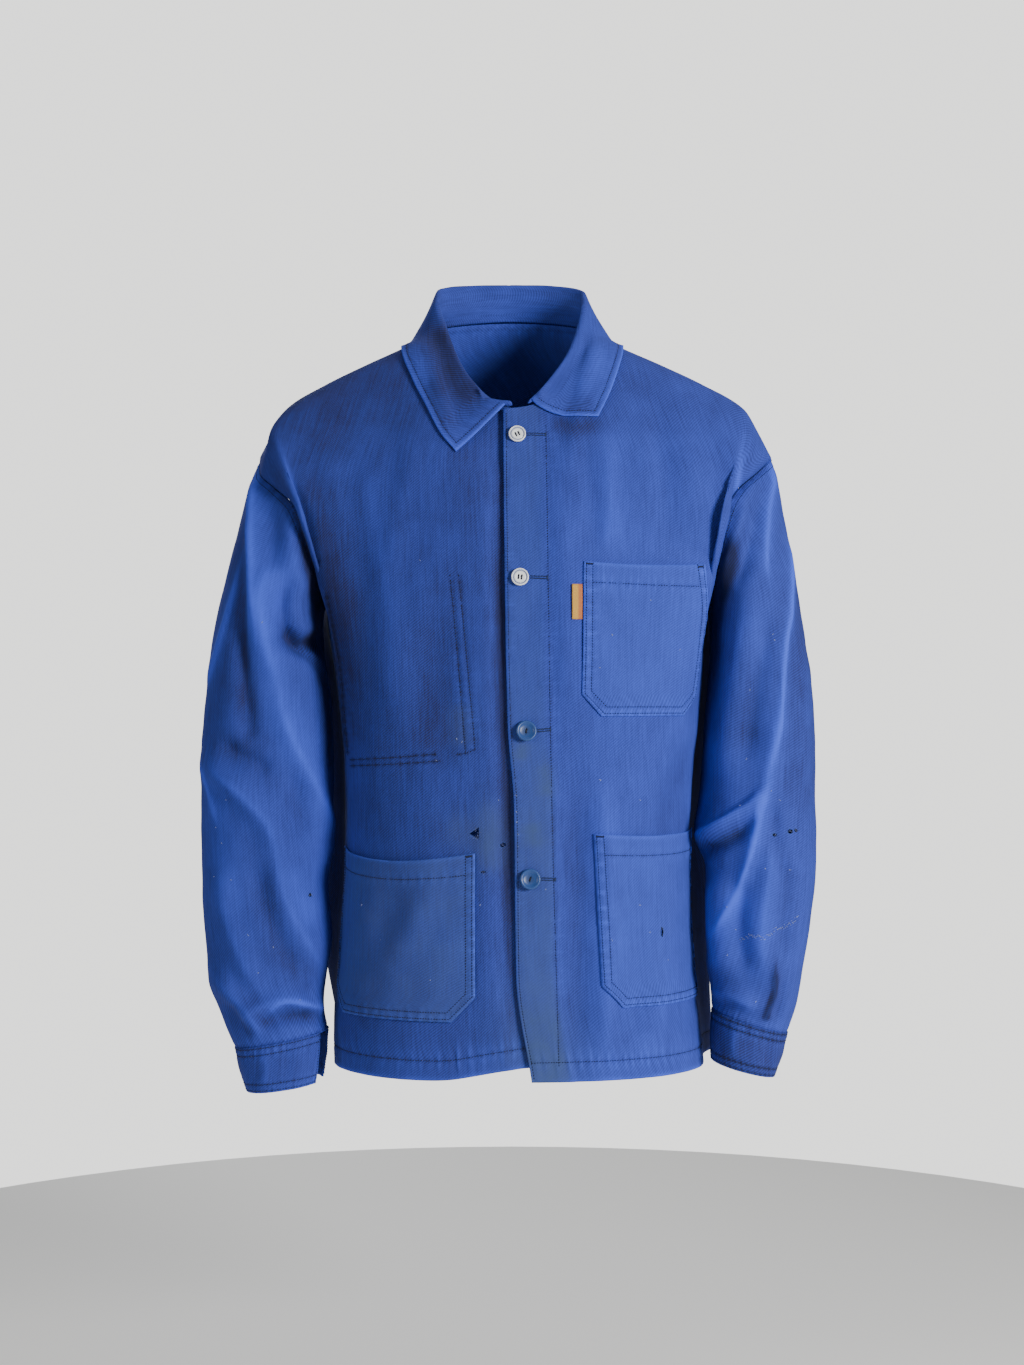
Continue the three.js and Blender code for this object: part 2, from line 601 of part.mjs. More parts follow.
function facingOut(geometry) {
  const p = geometry.getAttribute('position');
  const order = geometry.getIndex().array;
  let volume = 0;
  const [a, b, c] = [vec(0, 0, 0), vec(0, 0, 0), vec(0, 0, 0)];
  for (let i = 0; i < order.length; i += 3) {
    a.fromBufferAttribute(p, order[i]);
    b.fromBufferAttribute(p, order[i + 1]);
    c.fromBufferAttribute(p, order[i + 2]);
    volume += a.dot(b.cross(c));
  }
  if (volume < 0) {
    for (let i = 0; i < order.length; i += 3) [order[i + 1], order[i + 2]] = [order[i + 2], order[i + 1]];
  }
  geometry.computeVertexNormals();
  return geometry;
}

// Finding the place on a front panel that lies at x and z

function panelPlace(side, x, z) {
  let column = 0.5;
  let row = 0.5;
  for (let turn = 0; turn < 40; turn += 1) {
    const here = bodyPoint(side, column, row, 'front');
    const step = 0.002;
    const byColumn = bodyPoint(side, Math.min(column + step, 1), row, 'front').sub(here).divideScalar(step);
    const byRow = bodyPoint(side, column, row - step, 'front').sub(here).divideScalar(-step);
    const det = byColumn.x * byRow.z - byRow.x * byColumn.z;
    const dx = x - here.x;
    const dz = z - here.z;
    column = Math.min(Math.max(column + 0.7 * ((dx * byRow.z - byRow.x * dz) / det), 0), 0.985);
    row = Math.min(Math.max(row + 0.7 * ((byColumn.x * dz - dx * byColumn.z) / det), 0.003), 0.999);
  }
  return { column, row };
}

// Point and outward direction on the flat facets of a front panel
function facetFrame(side, column, row) {
  const sheet = side < 0 ? sheets.frontRight : sheets.frontLeft;
  const cell = (lines, at) => {
    const before = lines.findIndex((line) => line > at) - 1;
    return Math.min(Math.max(before, 0), lines.length - 2);
  };
  const c = column >= 1 ? FRONT_COLUMNS.length - 2 : cell(FRONT_COLUMNS, column);
  const r = row >= 1 ? rowShares.length - 2 : cell(rowShares, row);
  const u = (column - FRONT_COLUMNS[c]) / (FRONT_COLUMNS[c + 1] - FRONT_COLUMNS[c]);
  const v = (row - rowShares[r]) / (rowShares[r + 1] - rowShares[r]);
  const blend = (grid) => grid[r][c].clone().lerp(grid[r][c + 1], u)
    .lerp(grid[r + 1][c].clone().lerp(grid[r + 1][c + 1], u), v);
  return { point: blend(sheet.grid), normal: blend(sheet.normals).normalize() };
}

// Pockets follow the panel, measured out from it

function columnAfter(side, column, row, distance) {
  let walked = 0;
  let at = column;
  let here = bodyPoint(side, at, row, 'front');
  const step = 0.004;
  while (walked < distance && at < 0.985) {
    const next = bodyPoint(side, at + step, row, 'front');
    walked += next.distanceTo(here);
    here = next;
    at += step;
  }
  return at;
}

function pocketSheet(pocket) {
  const { side } = pocket;
  const rows = [];
  for (let r = 0; r <= POCKET_ROWS; r += 1) {
    const down = r / POCKET_ROWS;
    const trim = Math.max(pocket.cut - pocket.height * (1 - down), 0) * 0.95;
    const z = pocket.mouth - pocket.height * down;
    const start = panelPlace(side, side * (pocket.out + pocket.lean * pocket.height * down), z);
    const first = columnAfter(side, start.column, start.row, trim);
    const last = columnAfter(side, start.column, start.row, pocket.width - trim);
    rows.push({ down, z, first, last });
  }
  const nearest = Math.min(...rows.map((row) => row.first));
  const furthest = Math.max(...rows.map((row) => row.last));
  const between = FRONT_COLUMNS.filter((column) => column > nearest + 0.01 && column < furthest - 0.01);
  const outer = [];
  const inner = [];
  for (const { down, z, first, last } of rows) {
    const fitted = between.map((column, i) => {
      const low = first + 0.004 * (i + 1);
      const high = last - 0.004 * (between.length - i);
      return Math.min(Math.max(column, low), high);
    });
    const lines = [[], []];
    for (const column of [first, ...fitted, last]) {
      const share = (column - first) / (last - first);
      const hem = hemAt(side, column, 'front');
      const hang = (1 - down) ** 2 * pocket.sag * Math.sin(Math.PI * share);
      const level = z + pocket.slope * pocket.width * share * (1 - down) - hang;
      const row = (level - hem) / (topEdge(side, column, 'front').z - hem);
      const { point, normal } = facetFrame(side, column, row);
      lines[0].push(point.clone().addScaledVector(normal, pocket.lay + POCKET_WALL));
      lines[1].push(point.clone().addScaledVector(normal, pocket.lay));
    }
    outer.push(lines[0]);
    inner.push(lines[1]);
  }
  return solidBetween(outer, inner);
}

function tabSolid() {
  const outer = [];
  const inner = [];
  for (let r = 0; r <= 2; r += 1) {
    outer.push([]);
    inner.push([]);
    for (let c = 0; c <= 1; c += 1) {
      const x = TAB.out + TAB.width * c;
      const z = TAB.top - (TAB.height * r) / 2;
      const place = panelPlace(1, x, z);
      const { point, normal } = facetFrame(1, place.column, place.row);
      outer[r].push(point.clone().addScaledVector(normal, TAB.lay + TAB.wall));
      inner[r].push(point.clone().addScaledVector(normal, TAB.lay));
    }
  }
  return solidBetween(outer, inner);
}

// Collar: one sheet that stands up from the neckline, rolls over and falls outward

function neckPlace(side, share) {
  const face = share <= 1 ? 'front' : 'back';
  const turn = share <= 1 ? share : 2 - share;
  const column = NECK_SHARE * Math.sin((turn * Math.PI) / 2);
  return { face, column };
}

function neckPoint(side, share) {
  const { face, column } = neckPlace(side, share);
  const top = topEdge(side, column, face);
  return vec(side * top.x, top.y, top.z);
}

// Directions at the neckline: along the seam, out of the cloth, and on past its edge
function neckFrame(side, share) {
  const { face, column } = neckPlace(side, Math.min(share, 1.999));
  const foot = neckPoint(side, share);
  const ahead = neckPoint(side, Math.min(share + 0.02, 2));
  const behind = neckPoint(side, Math.max(share - 0.02, 0));
  const tangent = ahead.sub(behind).normalize();
  const below = bodyPoint(side, column, 0.985, face);
  const away = foot.clone().sub(below);
  away.addScaledVector(tangent, -away.dot(tangent)).normalize();
  const normal = tangent.clone().cross(away);
  if (normal.dot(vec(foot.x, foot.y, 40)) < 0) normal.negate();
  return { foot, away, normal };
}

function nearestOnBody(point) {
  let best = null;
  let least = Infinity;
  for (const place of collarGround) {
    const distance = place.point.distanceToSquared(point);
    if (distance < least) {
      least = distance;
      best = place;
    }
  }
  return best;
}

function clearOfBody(point, clearance) {
  for (let turn = 0; turn < 3; turn += 1) {
    const near = nearestOnBody(point);
    const gap = point.clone().sub(near.point).dot(near.normal);
    if (gap < clearance) point.addScaledVector(near.normal, clearance - gap);
  }
  return point;
}

function collarLine(side, station) {
  const { foot, away, normal } = neckFrame(side, station.neck);
  const edge = vec(...station.edge);
  const roll = vec(...station.roll);
  if (roll.distanceTo(foot) < LEAST_STAND) {
    roll.copy(foot).addScaledVector(away, LEAST_STAND).addScaledVector(normal, 1.5);
  }
  const outward = edge.clone().sub(roll).setZ(0);
  if (outward.length() < 1) outward.set(side, 0, 0);
  outward.normalize();
  const height = roll.distanceTo(foot);
  const bend = Math.min(COLLAR_BEND, height * 0.45);
  const base = foot.clone().addScaledVector(away, 2.1).addScaledVector(normal, 0.1 - COLLAR_WALL);
  const inside = roll.clone().addScaledVector(outward, -bend).add(vec(0, 0, -bend * 0.5));
  const lean = base.clone().addScaledVector(away, height * 0.4);
  const line = [base];
  for (const share of [0.5, 1]) {
    const low = base.clone().lerp(lean, share);
    line.push(low.lerp(lean.clone().lerp(inside, share), share));
  }
  line.push(roll.clone().addScaledVector(outward, -bend * 0.6).add(vec(0, 0, bend * 0.45)));
  const crown = roll.clone().add(vec(0, 0, bend * 0.8));
  const turned = roll.clone().addScaledVector(outward, bend * 0.8).add(vec(0, 0, bend * 0.3));
  line.push(clearOfBody(crown, COLLAR_WALL + 1.9));
  line.push(clearOfBody(turned, COLLAR_WALL + 2.4));
  const start = line[line.length - 1].clone();
  for (const share of [0.2, 0.4, 0.6, 0.8, 1]) {
    line.push(clearOfBody(start.clone().lerp(edge, share), COLLAR_WALL + COLLAR_CLEAR));
  }
  return line;
}

// One side of the collar, from its front end to the centre back
function collarSide(side, table) {
  const flat = table.map(({ neck, roll, edge }) => ({
    neck, rollX: roll[0], rollY: roll[1], rollZ: roll[2], edgeX: edge[0], edgeY: edge[1], edgeZ: edge[2],
  }));
  const lines = [];
  for (let i = 0; i <= COLLAR_STEPS; i += 1) {
    const neck = mix(table[0].neck, 2, i / COLLAR_STEPS);
    const at = (name) => along(flat, name, neck, 'neck');
    lines.push(collarLine(side, {
      neck,
      roll: [at('rollX'), at('rollY'), at('rollZ')],
      edge: [at('edgeX'), at('edgeY'), at('edgeZ')],
    }));
  }
  return lines;
}

// Evens out the fallen leaf, keeping its outer edge and its clearance
function settleLeaf(grid) {
  const last = grid[0].length - 1;
  for (let turn = 0; turn < LEAF_SMOOTHING; turn += 1) {
    const before = grid.map((line) => line.map((point) => point.clone()));
    for (let r = 1; r < grid.length - 1; r += 1) {
      for (let c = LEAF_FROM; c <= last; c += 1) {
        const mean = before[r - 1][c].clone().add(before[r + 1][c]);
        if (c < last) mean.add(before[r][c - 1]).add(before[r][c + 1]).divideScalar(4);
        else mean.divideScalar(2);
        grid[r][c].lerp(mean, 0.5);
        clearOfBody(grid[r][c], COLLAR_WALL + COLLAR_CLEAR);
      }
    }
  }
  return grid;
}

function collarGrid() {
  const right = collarSide(-1, COLLAR_RIGHT);
  const left = collarSide(1, COLLAR_LEFT).slice(0, -1).reverse();
  return settleLeaf([...right, ...left]);
}

// Buttons: a dished disc with a raised rim

function buttonGeometry(button) {
  const radius = button.diameter / 2;
  const rim = button.kind === 'white' ? 2.6 : 3.2;
  const dish = 1.0;
  const profile = [
    [0, 0],
    [radius * 0.8, 0],
    [radius, BUTTON_THICK * 0.45],
    [radius - 0.4, BUTTON_THICK * 0.85],
    [radius - rim * 0.5, BUTTON_THICK],
    [radius - rim, BUTTON_THICK - dish],
    [0, BUTTON_THICK - dish],
  ].map(([r, h]) => new THREE.Vector2(r, h));
  const lathe = new THREE.LatheGeometry(profile, 16);
  lathe.deleteAttribute('normal');
  lathe.deleteAttribute('uv');
  return facingOut(dropFlat(mergeVertices(lathe, 1e-4)));
}

function dropFlat(geometry) {
  const order = [...geometry.getIndex().array];
  const kept = [];
  for (let i = 0; i < order.length; i += 3) {
    const [a, b, c] = order.slice(i, i + 3);
    if (a !== b && b !== c && a !== c) kept.push(a, b, c);
  }
  geometry.setIndex(kept);
  return geometry;
}

// Materials

const CLOTH = { color: 0x2f55b5, roughness: 0.88, metalness: 0 };
const CLOTH_WORN = { color: 0x3c5fa8, roughness: 0.9, metalness: 0 };
const BUTTON_WHITE = { color: 0xe9ecf2, roughness: 0.35, metalness: 0 };
const BUTTON_BLUE = { color: 0x2a569c, roughness: 0.35, metalness: 0 };
const TAB_YARN = { color: 0xe8b84a, roughness: 0.8, metalness: 0 };

const jacket = new THREE.Group();
jacket.name = 'chore_jacket';

function addPiece(name, geometry, look) {
  const mesh = new THREE.Mesh(geometry, new THREE.MeshStandardMaterial(look));
  mesh.name = name;
  jacket.add(mesh);
  return mesh;
}

// Cutting the tear through the front

const wasm = await Module();
wasm.setup();

function toManifold(geometry) {
  return new wasm.Manifold(new wasm.Mesh({
    numProp: 3,
    vertProperties: new Float32Array(geometry.getAttribute('position').array),
    triVerts: new Uint32Array(geometry.getIndex().array),
  }));
}

function fromManifold(solid) {
  const mesh = solid.getMesh();
  const geometry = new THREE.BufferGeometry();
  geometry.setAttribute('position', new THREE.BufferAttribute(mesh.vertProperties, 3));
  geometry.setIndex(new THREE.BufferAttribute(mesh.triVerts, 1));
  geometry.computeVertexNormals();
  return geometry;
}

function tearCutter() {
  const shape = new THREE.Shape(TEAR.map((corner) => new THREE.Vector2(corner.x, corner.z)));
  const prism = new THREE.ExtrudeGeometry(shape, { depth: 60, bevelEnabled: false });
  prism.rotateX(Math.PI / 2);
  prism.translate(0, -100, 0);
  prism.deleteAttribute('normal');
  prism.deleteAttribute('uv');
  return facingOut(mergeVertices(prism, 1e-4));
}

// Assembly

const sheets = {
  frontRight: makeSheet('front_right', frontGrid(-1), { turn: -1 }),
  frontLeft: makeSheet('front_left', frontGrid(1), { turn: 1 }),
  back: makeSheet('back', backGrid(), { turn: -1 }),
  sleeveRight: makeSheet('sleeve_right', sleeveGrid(-1), { closed: true, turn: -1 }),
  sleeveLeft: makeSheet('sleeve_left', sleeveGrid(1), { closed: true, turn: 1 }),
};

for (const sheet of Object.values(sheets)) {
  const { outer, inner } = wallPoints(sheet, WALL);
  let solid = solidBetween(outer, inner, sheet.closed);
  if (sheet.name === 'front_right') {
    solid = fromManifold(toManifold(solid).subtract(toManifold(tearCutter())));
  }
  addPiece(sheet.name, solid, CLOTH);
}

function cuffSolid(side) {
  const cuff = side < 0 ? CUFF_RIGHT : CUFF_LEFT;
  const table = side < 0 ? SLEEVE_RIGHT : SLEEVE_LEFT;
  const top = { ...table[table.length - 1] };
  const outer = [];
  const inner = [];
  const steps = 18;
  for (let r = 0; r <= 2; r += 1) {
    const share = r / 2;
    outer.push([]);
    inner.push([]);
    const section = {};
    for (const name of ['z', 'lift', 'outer', 'inner', 'y', 'depth']) {
      section[name] = mix(top[name], cuff[name], share);
    }
    section.z -= (1 - share) * SEAM_GAP * 2;
    for (let c = 0; c <= steps; c += 1) {
      const angle = THREE.MathUtils.degToRad(mix(cuff.from, cuff.to, c / steps));
      const grown = (by) => ({
        ...section, outer: section.outer + by, inner: section.inner - by, depth: section.depth + by,
      });
      outer[r].push(ringPoint(side, grown(CUFF_STAND_OUT), angle));
      inner[r].push(ringPoint(side, grown(CUFF_STAND_OUT - WALL), angle));
    }
  }
  return solidBetween(outer, inner);
}

addPiece('cuff_right', cuffSolid(-1), CLOTH);
addPiece('cuff_left', cuffSolid(1), CLOTH);

// Points of the cloth that lies under the collar
const collarGround = [];
for (const sheet of [sheets.frontRight, sheets.frontLeft, sheets.back]) {
  sheet.grid.slice(-12).forEach((line, r) => line.forEach((point, c) => {
    if (Math.abs(point.x) > 150) return;
    const normals = sheet.normals.slice(-12);
    const up = Math.min(r + 1, 11);
    const on = Math.min(c + 1, line.length - 1);
    for (let step = 0; step < 16; step += 1) {
      const [i, j] = [Math.floor(step / 4) / 4, (step % 4) / 4];
      const blend = (grid) => grid[r][c].clone().lerp(grid[r][on], j)
        .lerp(grid[up][c].clone().lerp(grid[up][on], j), i);
      collarGround.push({ point: blend(sheet.grid.slice(-12)), normal: blend(normals).normalize() });
    }
  }));
}

const collarPoints = collarGrid();
const collarSheet = { grid: collarPoints, closed: false, normals: gridNormals(collarPoints, false, 1) };
const collarWall = wallPoints(collarSheet, COLLAR_WALL);
addPiece('collar', solidBetween(collarWall.outer, collarWall.inner), CLOTH);

for (const pocket of POCKETS) addPiece(pocket.name, pocketSheet(pocket), CLOTH_WORN);
addPiece('pocket_tab', tabSolid(), TAB_YARN);

for (const button of BUTTONS) {
  const look = button.kind === 'white' ? BUTTON_WHITE : BUTTON_BLUE;
  const mesh = addPiece(button.name, buttonGeometry(button), look);
  const place = panelPlace(1, button.x, button.z);
  const { point, normal } = facetFrame(1, place.column, place.row);
  mesh.position.copy(point).addScaledVector(normal, BUTTON_LIFT);
  mesh.quaternion.setFromUnitVectors(vec(0, 1, 0), normal);
}

export default jacket;
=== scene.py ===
# %% [markdown]
# # A worn chore jacket
# This lesson dresses the plain model of a blue cotton work jacket. The model keeps the sizes.
# Every piece of cloth is laid out again here as a fine sheet on the same form, and gets its
# creases, sewing, weave and wear. Tables are in millimetres, and Blender works in metres.

# %% Loading the frame
import math
import random
import bmesh
import bpy
import numpy as np
from mathutils import Matrix, Vector, noise
from mathutils.bvhtree import BVHTree


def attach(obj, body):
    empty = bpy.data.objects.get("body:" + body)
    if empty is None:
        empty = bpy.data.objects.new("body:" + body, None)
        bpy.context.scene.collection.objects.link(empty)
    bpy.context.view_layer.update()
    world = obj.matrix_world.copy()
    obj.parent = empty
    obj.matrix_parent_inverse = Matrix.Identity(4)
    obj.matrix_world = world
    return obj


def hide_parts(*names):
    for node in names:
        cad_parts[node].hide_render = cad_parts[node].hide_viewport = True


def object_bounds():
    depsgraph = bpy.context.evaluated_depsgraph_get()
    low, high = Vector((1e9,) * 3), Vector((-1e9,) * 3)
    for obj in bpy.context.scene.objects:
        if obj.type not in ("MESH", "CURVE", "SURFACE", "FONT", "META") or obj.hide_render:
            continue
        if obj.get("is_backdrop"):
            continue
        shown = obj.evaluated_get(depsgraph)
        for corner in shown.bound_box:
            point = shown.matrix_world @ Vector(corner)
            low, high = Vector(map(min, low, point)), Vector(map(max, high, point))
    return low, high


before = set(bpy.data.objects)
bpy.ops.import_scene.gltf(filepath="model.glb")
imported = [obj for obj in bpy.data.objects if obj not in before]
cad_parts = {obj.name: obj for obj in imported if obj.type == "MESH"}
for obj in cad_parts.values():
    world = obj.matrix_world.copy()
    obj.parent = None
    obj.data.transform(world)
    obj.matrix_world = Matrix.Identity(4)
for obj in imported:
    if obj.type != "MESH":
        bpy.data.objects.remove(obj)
cad_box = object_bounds()
MM = 0.001
random.seed(7)


def mesh_from(bm, name):
    """Hands a finished bmesh over to a new mesh."""
    mesh = bpy.data.meshes.new(name)
    bm.to_mesh(mesh)
    bm.free()
    return mesh


def link_piece(name, mesh):
    piece = bpy.data.objects.new(name, mesh)
    bpy.context.scene.collection.objects.link(piece)
    return piece


print("nodes:", ", ".join(sorted(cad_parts)))

# %% [markdown]
# ## Camera, lamps and floor
# The photograph was taken level, from about two metres away. A camera is described by its place
# and by its focal length in pixels, which a 36 mm sensor turns into a lens length. The same
# numbers later tell which pixel of the picture a point of the cloth falls on.

# %% The camera
PICTURE_WIDTH = 1024
PICTURE_HEIGHT = 1365
FOCAL_PIXELS = 2094.2
EYE = np.array([0.0, -2130.0, -360.0])
SENSOR = 36.0

camera_data = bpy.data.cameras.new("camera")
camera_data.sensor_width = SENSOR
camera_data.lens = SENSOR * FOCAL_PIXELS / PICTURE_HEIGHT
camera = link_piece("camera", camera_data)
camera.location = EYE * MM
camera.rotation_euler = (math.pi / 2, 0, 0)
bpy.context.scene.camera = camera
print("lens", round(camera_data.lens, 2), "mm")


# %% Lamps: a soft window on the picture's right, a weak fill on the left
def area_lamp(name, place, target, size, power, colour):
    lamp = bpy.data.lights.new(name, "AREA")
    lamp.shape = "DISK"
    lamp.size = size
    lamp.energy = power
    lamp.color = colour
    holder = link_piece(name, lamp)
    holder.location = place
    aim = Vector(target) - Vector(place)
    holder.rotation_euler = aim.to_track_quat("-Z", "Y").to_euler()


area_lamp("window", (1.65, -1.65, 0.0), (0.0, -0.1, -0.4), 0.8, 66, (1.0, 0.99, 0.97))
area_lamp("fill", (-2.1, -1.6, 0.1), (0.0, 0.0, -0.4), 1.4, 15, (1.0, 0.93, 0.88))
area_lamp("top", (0.2, 0.3, 1.7), (0.0, 0.0, -0.2), 1.4, 12, (1.0, 1.0, 1.0))
area_lamp("behind", (-0.6, 2.0, 0.4), (0.0, 0.0, -0.4), 1.6, 16, (0.96, 0.98, 1.0))

# The wall is bright to look at, and gives the cloth only a part of its light, so folds keep depth
WALL_COLOUR = (0.90, 0.90, 0.885, 1)
WALL_SEEN = 1.95
WALL_LIGHT = 0.20
world = bpy.data.worlds.new("studio")
world.use_nodes = True
backdrop = world.node_tree.nodes["Background"]
backdrop.inputs["Color"].default_value = WALL_COLOUR
rays = world.node_tree.nodes.new("ShaderNodeLightPath")
strength = world.node_tree.nodes.new("ShaderNodeMapRange")
strength.inputs["To Min"].default_value = WALL_LIGHT
strength.inputs["To Max"].default_value = WALL_SEEN
world.node_tree.links.new(rays.outputs["Is Camera Ray"], strength.inputs["Value"])
world.node_tree.links.new(strength.outputs[0], backdrop.inputs["Strength"])
bpy.context.scene.world = world

# %% A pale floor under the jacket
FLOOR_Z = -1.12
FLOOR_RADIUS = 1.2
bm = bmesh.new()
bmesh.ops.create_circle(bm, cap_ends=True, segments=96, radius=FLOOR_RADIUS)
bmesh.ops.translate(bm, verts=bm.verts, vec=(0, 0.1, FLOOR_Z))
floor = link_piece("floor", mesh_from(bm, "floor"))
floor_paint = bpy.data.materials.new("pale_floor")
floor_paint.use_nodes = True
floor_inputs = floor_paint.node_tree.nodes["Principled BSDF"].inputs
floor_inputs["Base Color"].default_value = (0.96, 0.96, 0.95, 1)
floor_inputs["Roughness"].default_value = 0.8
floor.data.materials.append(floor_paint)
floor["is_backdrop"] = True
print("floor at", FLOOR_Z, "m")

# %% [markdown]
# ## The form of the jacket
# A garment's form can be written as a few short tables: how wide it is at each height, how deep,
# where the seams run. Curves through the tables give every point between. The tables repeat the
# plain model's, so each sheet lies on its own solid.

# %% Driving sizes
WALL = 1.3
HEM_Z = -742
NECK_POINT_X = 80
NECK_POINT_Z = -6
NECK_FRONT = {"drop": 85, "depth": 75}
NECK_BACK = {"drop": -20, "depth": 55}
ARMPIT_Z = -280
TIP_Z = -132
SHOULDER_ROUND = 115
SHOULDER_SEAM_Y = -6
SHOULDER_CREST = 3.5
CREST_REACH = 14
CREST_FROM = 0.36
SQUARENESS = 2.4
ARM_FOLD_AT = 0.88
ARM_FOLD_FROM = 0.55
ARMHOLE_NEARNESS = 14
PLACKET_WIDTH = 42
PLACKET_RAISE = 0.6
UNDERLAP_DIP = 3.6
UNDERLAP_CURVE = 0.003
LAP_REACH = 0.28
NECK_SHARE = 0.3
ARMPIT_SHARE = (ARMPIT_Z - HEM_Z) / (TIP_Z - HEM_Z)


def table(names, *rows):
    return [dict(zip(names.split(), row)) for row in rows]


def spots(text):
    """Pairs of numbers from a text such as "12,34 56,78"."""
    return [tuple(float(value) for value in pair.split(",")) for pair in text.split()]


def fold_rows(text):
    """Folds from lines of text: kind, width, height, how rubbed, and the spots of the path."""
    rows = []
    for line in text.strip().splitlines():
        kind, width, height, rubbed, path = line.split(maxsplit=4)
        rows.append((kind, float(width), float(height), float(rubbed), spots(path)))
    return rows


HANDS = {-1: "right", 1: "left"}


SHOULDER = table(
    "x z", (80, -6), (110, -21), (150, -39), (190, -58.5), (230, -83), (245, -107), (258, -132),
)
PROFILE = table(
    "z front back", (-760, 131, 133), (-600, 131, 136), (-450, 130, 137), (-350, 127, 136),
    (-260, 119, 131), (-180, 104, 121), (-130, 90, 110), (-91, 78, 98), (-50, 68, 82), (20, 55, 56),
)
SIDE = table(
    "z right left fold", (-760, 179, 196, 0), (-700, 180, 190, 0), (-640, 176, 182, 0),
    (-545, 169, 177, 0), (-440, 170, 183, 2), (-365, 177, 192, 10), (-305, 186, 195.5, 20),
    (-280, 188, 197, 26),
)
ARMHOLE = table(
    "z right left front back fold", (-280, 188, 197, 0, 0, 26), (-272, 189, 197.5, -28, 26, 28),
    (-255, 192, 199, -51, 46, 31), (-230, 198, 202, -68, 60, 34), (-205, 206, 206, -73, 63, 34),
    (-184, 216, 213, -65, 57, 31), (-168, 234, 224, -47, 45, 24), (-150, 253, 245, -20, 26, 12),
    (-132, 256, 264, 3, 3, 0),
)
LAP = table(
    "z over under", (-742, -19, 40), (-640, -4, 34), (-480, -2, 30), (-400, 4, 28), (-250, 7, 24),
    (-90, 8.6, 20),
)


# %% Small helpers for curves and blends
def mix(a, b, share):
    return a + (b - a) * share


def smooth(value):
    value = np.clip(value, 0, 1)
    return value * value * (3 - 2 * value)


def curve(rows, column, at, key="z"):
    """Smooth curve through one column of a table, read against its key column."""
    rows = sorted(rows, key=lambda row: row[key])
    keys = np.array([row[key] for row in rows], float)
    values = np.array([row[column] for row in rows], float)
    rise = np.diff(values) / np.diff(keys)
    before, after = rise[:-1], rise[1:]
    both = before * after
    inner = np.where(both > 0, 2 * both / np.where(both > 0, before + after, 1), 0)
    tangent = np.concatenate([rise[:1], inner, rise[-1:]])
    at = np.clip(np.asarray(at, float), keys[0], keys[-1])
    low = np.clip(np.searchsorted(keys, at, side="right") - 1, 0, len(keys) - 2)
    span = keys[low + 1] - keys[low]
    u = (at - keys[low]) / span
    base = mix(values[low], values[low + 1], u * u * (3 - 2 * u))
    return base + span * (tangent[low] * u * (1 - u) ** 2 - tangent[low + 1] * u * u * (1 - u))


def walk(line):
    """How far along a line each of its points lies."""
    return np.concatenate([[0], np.cumsum(np.linalg.norm(np.diff(line, axis=0), axis=1))])


def at_lengths(line, walked, lengths):
    """Points of a line at given lengths along it."""
    return np.stack([np.interp(lengths, walked, line[:, k]) for k in range(3)], -1)


def neighbours(grid):
    """The mean of the four neighbours of each inner point of a grid."""
    return (grid[:-2, 1:-1] + grid[2:, 1:-1] + grid[1:-1, :-2] + grid[1:-1, 2:]) / 4


# %% Places on the front and back panels
def seam_at(side, z, face):
    name = HANDS[side]
    low = z <= ARMPIT_Z
    x = np.where(low, curve(SIDE, name, z), curve(ARMHOLE, name, z))
    y = np.where(low, 0.0, curve(ARMHOLE, face, z))
    fold = np.where(low, curve(SIDE, "fold", z), curve(ARMHOLE, "fold", z))
    return x, y, fold


def top_edge(side, column, face):
    tip_x, tip_y, _ = seam_at(side, np.array(float(TIP_Z)), face)
    neck = NECK_FRONT if face == "front" else NECK_BACK
    depth = -neck["depth"] if face == "front" else neck["depth"]
    ring = np.sqrt(np.clip(1 - (column / NECK_SHARE) ** 2, 0, 1))
    out = np.clip((column - NECK_SHARE) / (1 - NECK_SHARE), 0, 1)
    on_neck = column <= NECK_SHARE
    x = np.where(on_neck, NECK_POINT_X * column / NECK_SHARE, mix(NECK_POINT_X, tip_x, out))
    shoulder_x = mix(NECK_POINT_X, SHOULDER[-1]["x"], out)
    sloping = mix(SHOULDER_SEAM_Y, tip_y, smooth((out - 0.8) / 0.2))
    y = np.where(on_neck, mix(SHOULDER_SEAM_Y, depth, ring), sloping)
    z = np.where(on_neck, NECK_POINT_Z - neck["drop"] * ring, curve(SHOULDER, "z", shoulder_x, "x"))
    return x, y, z


def hem_at(side, column, face):
    lifted = 14 * np.exp(-((column / 0.22) ** 2)) if face == "front" and side < 0 else 0
    return HEM_Z + lifted + 0 * column


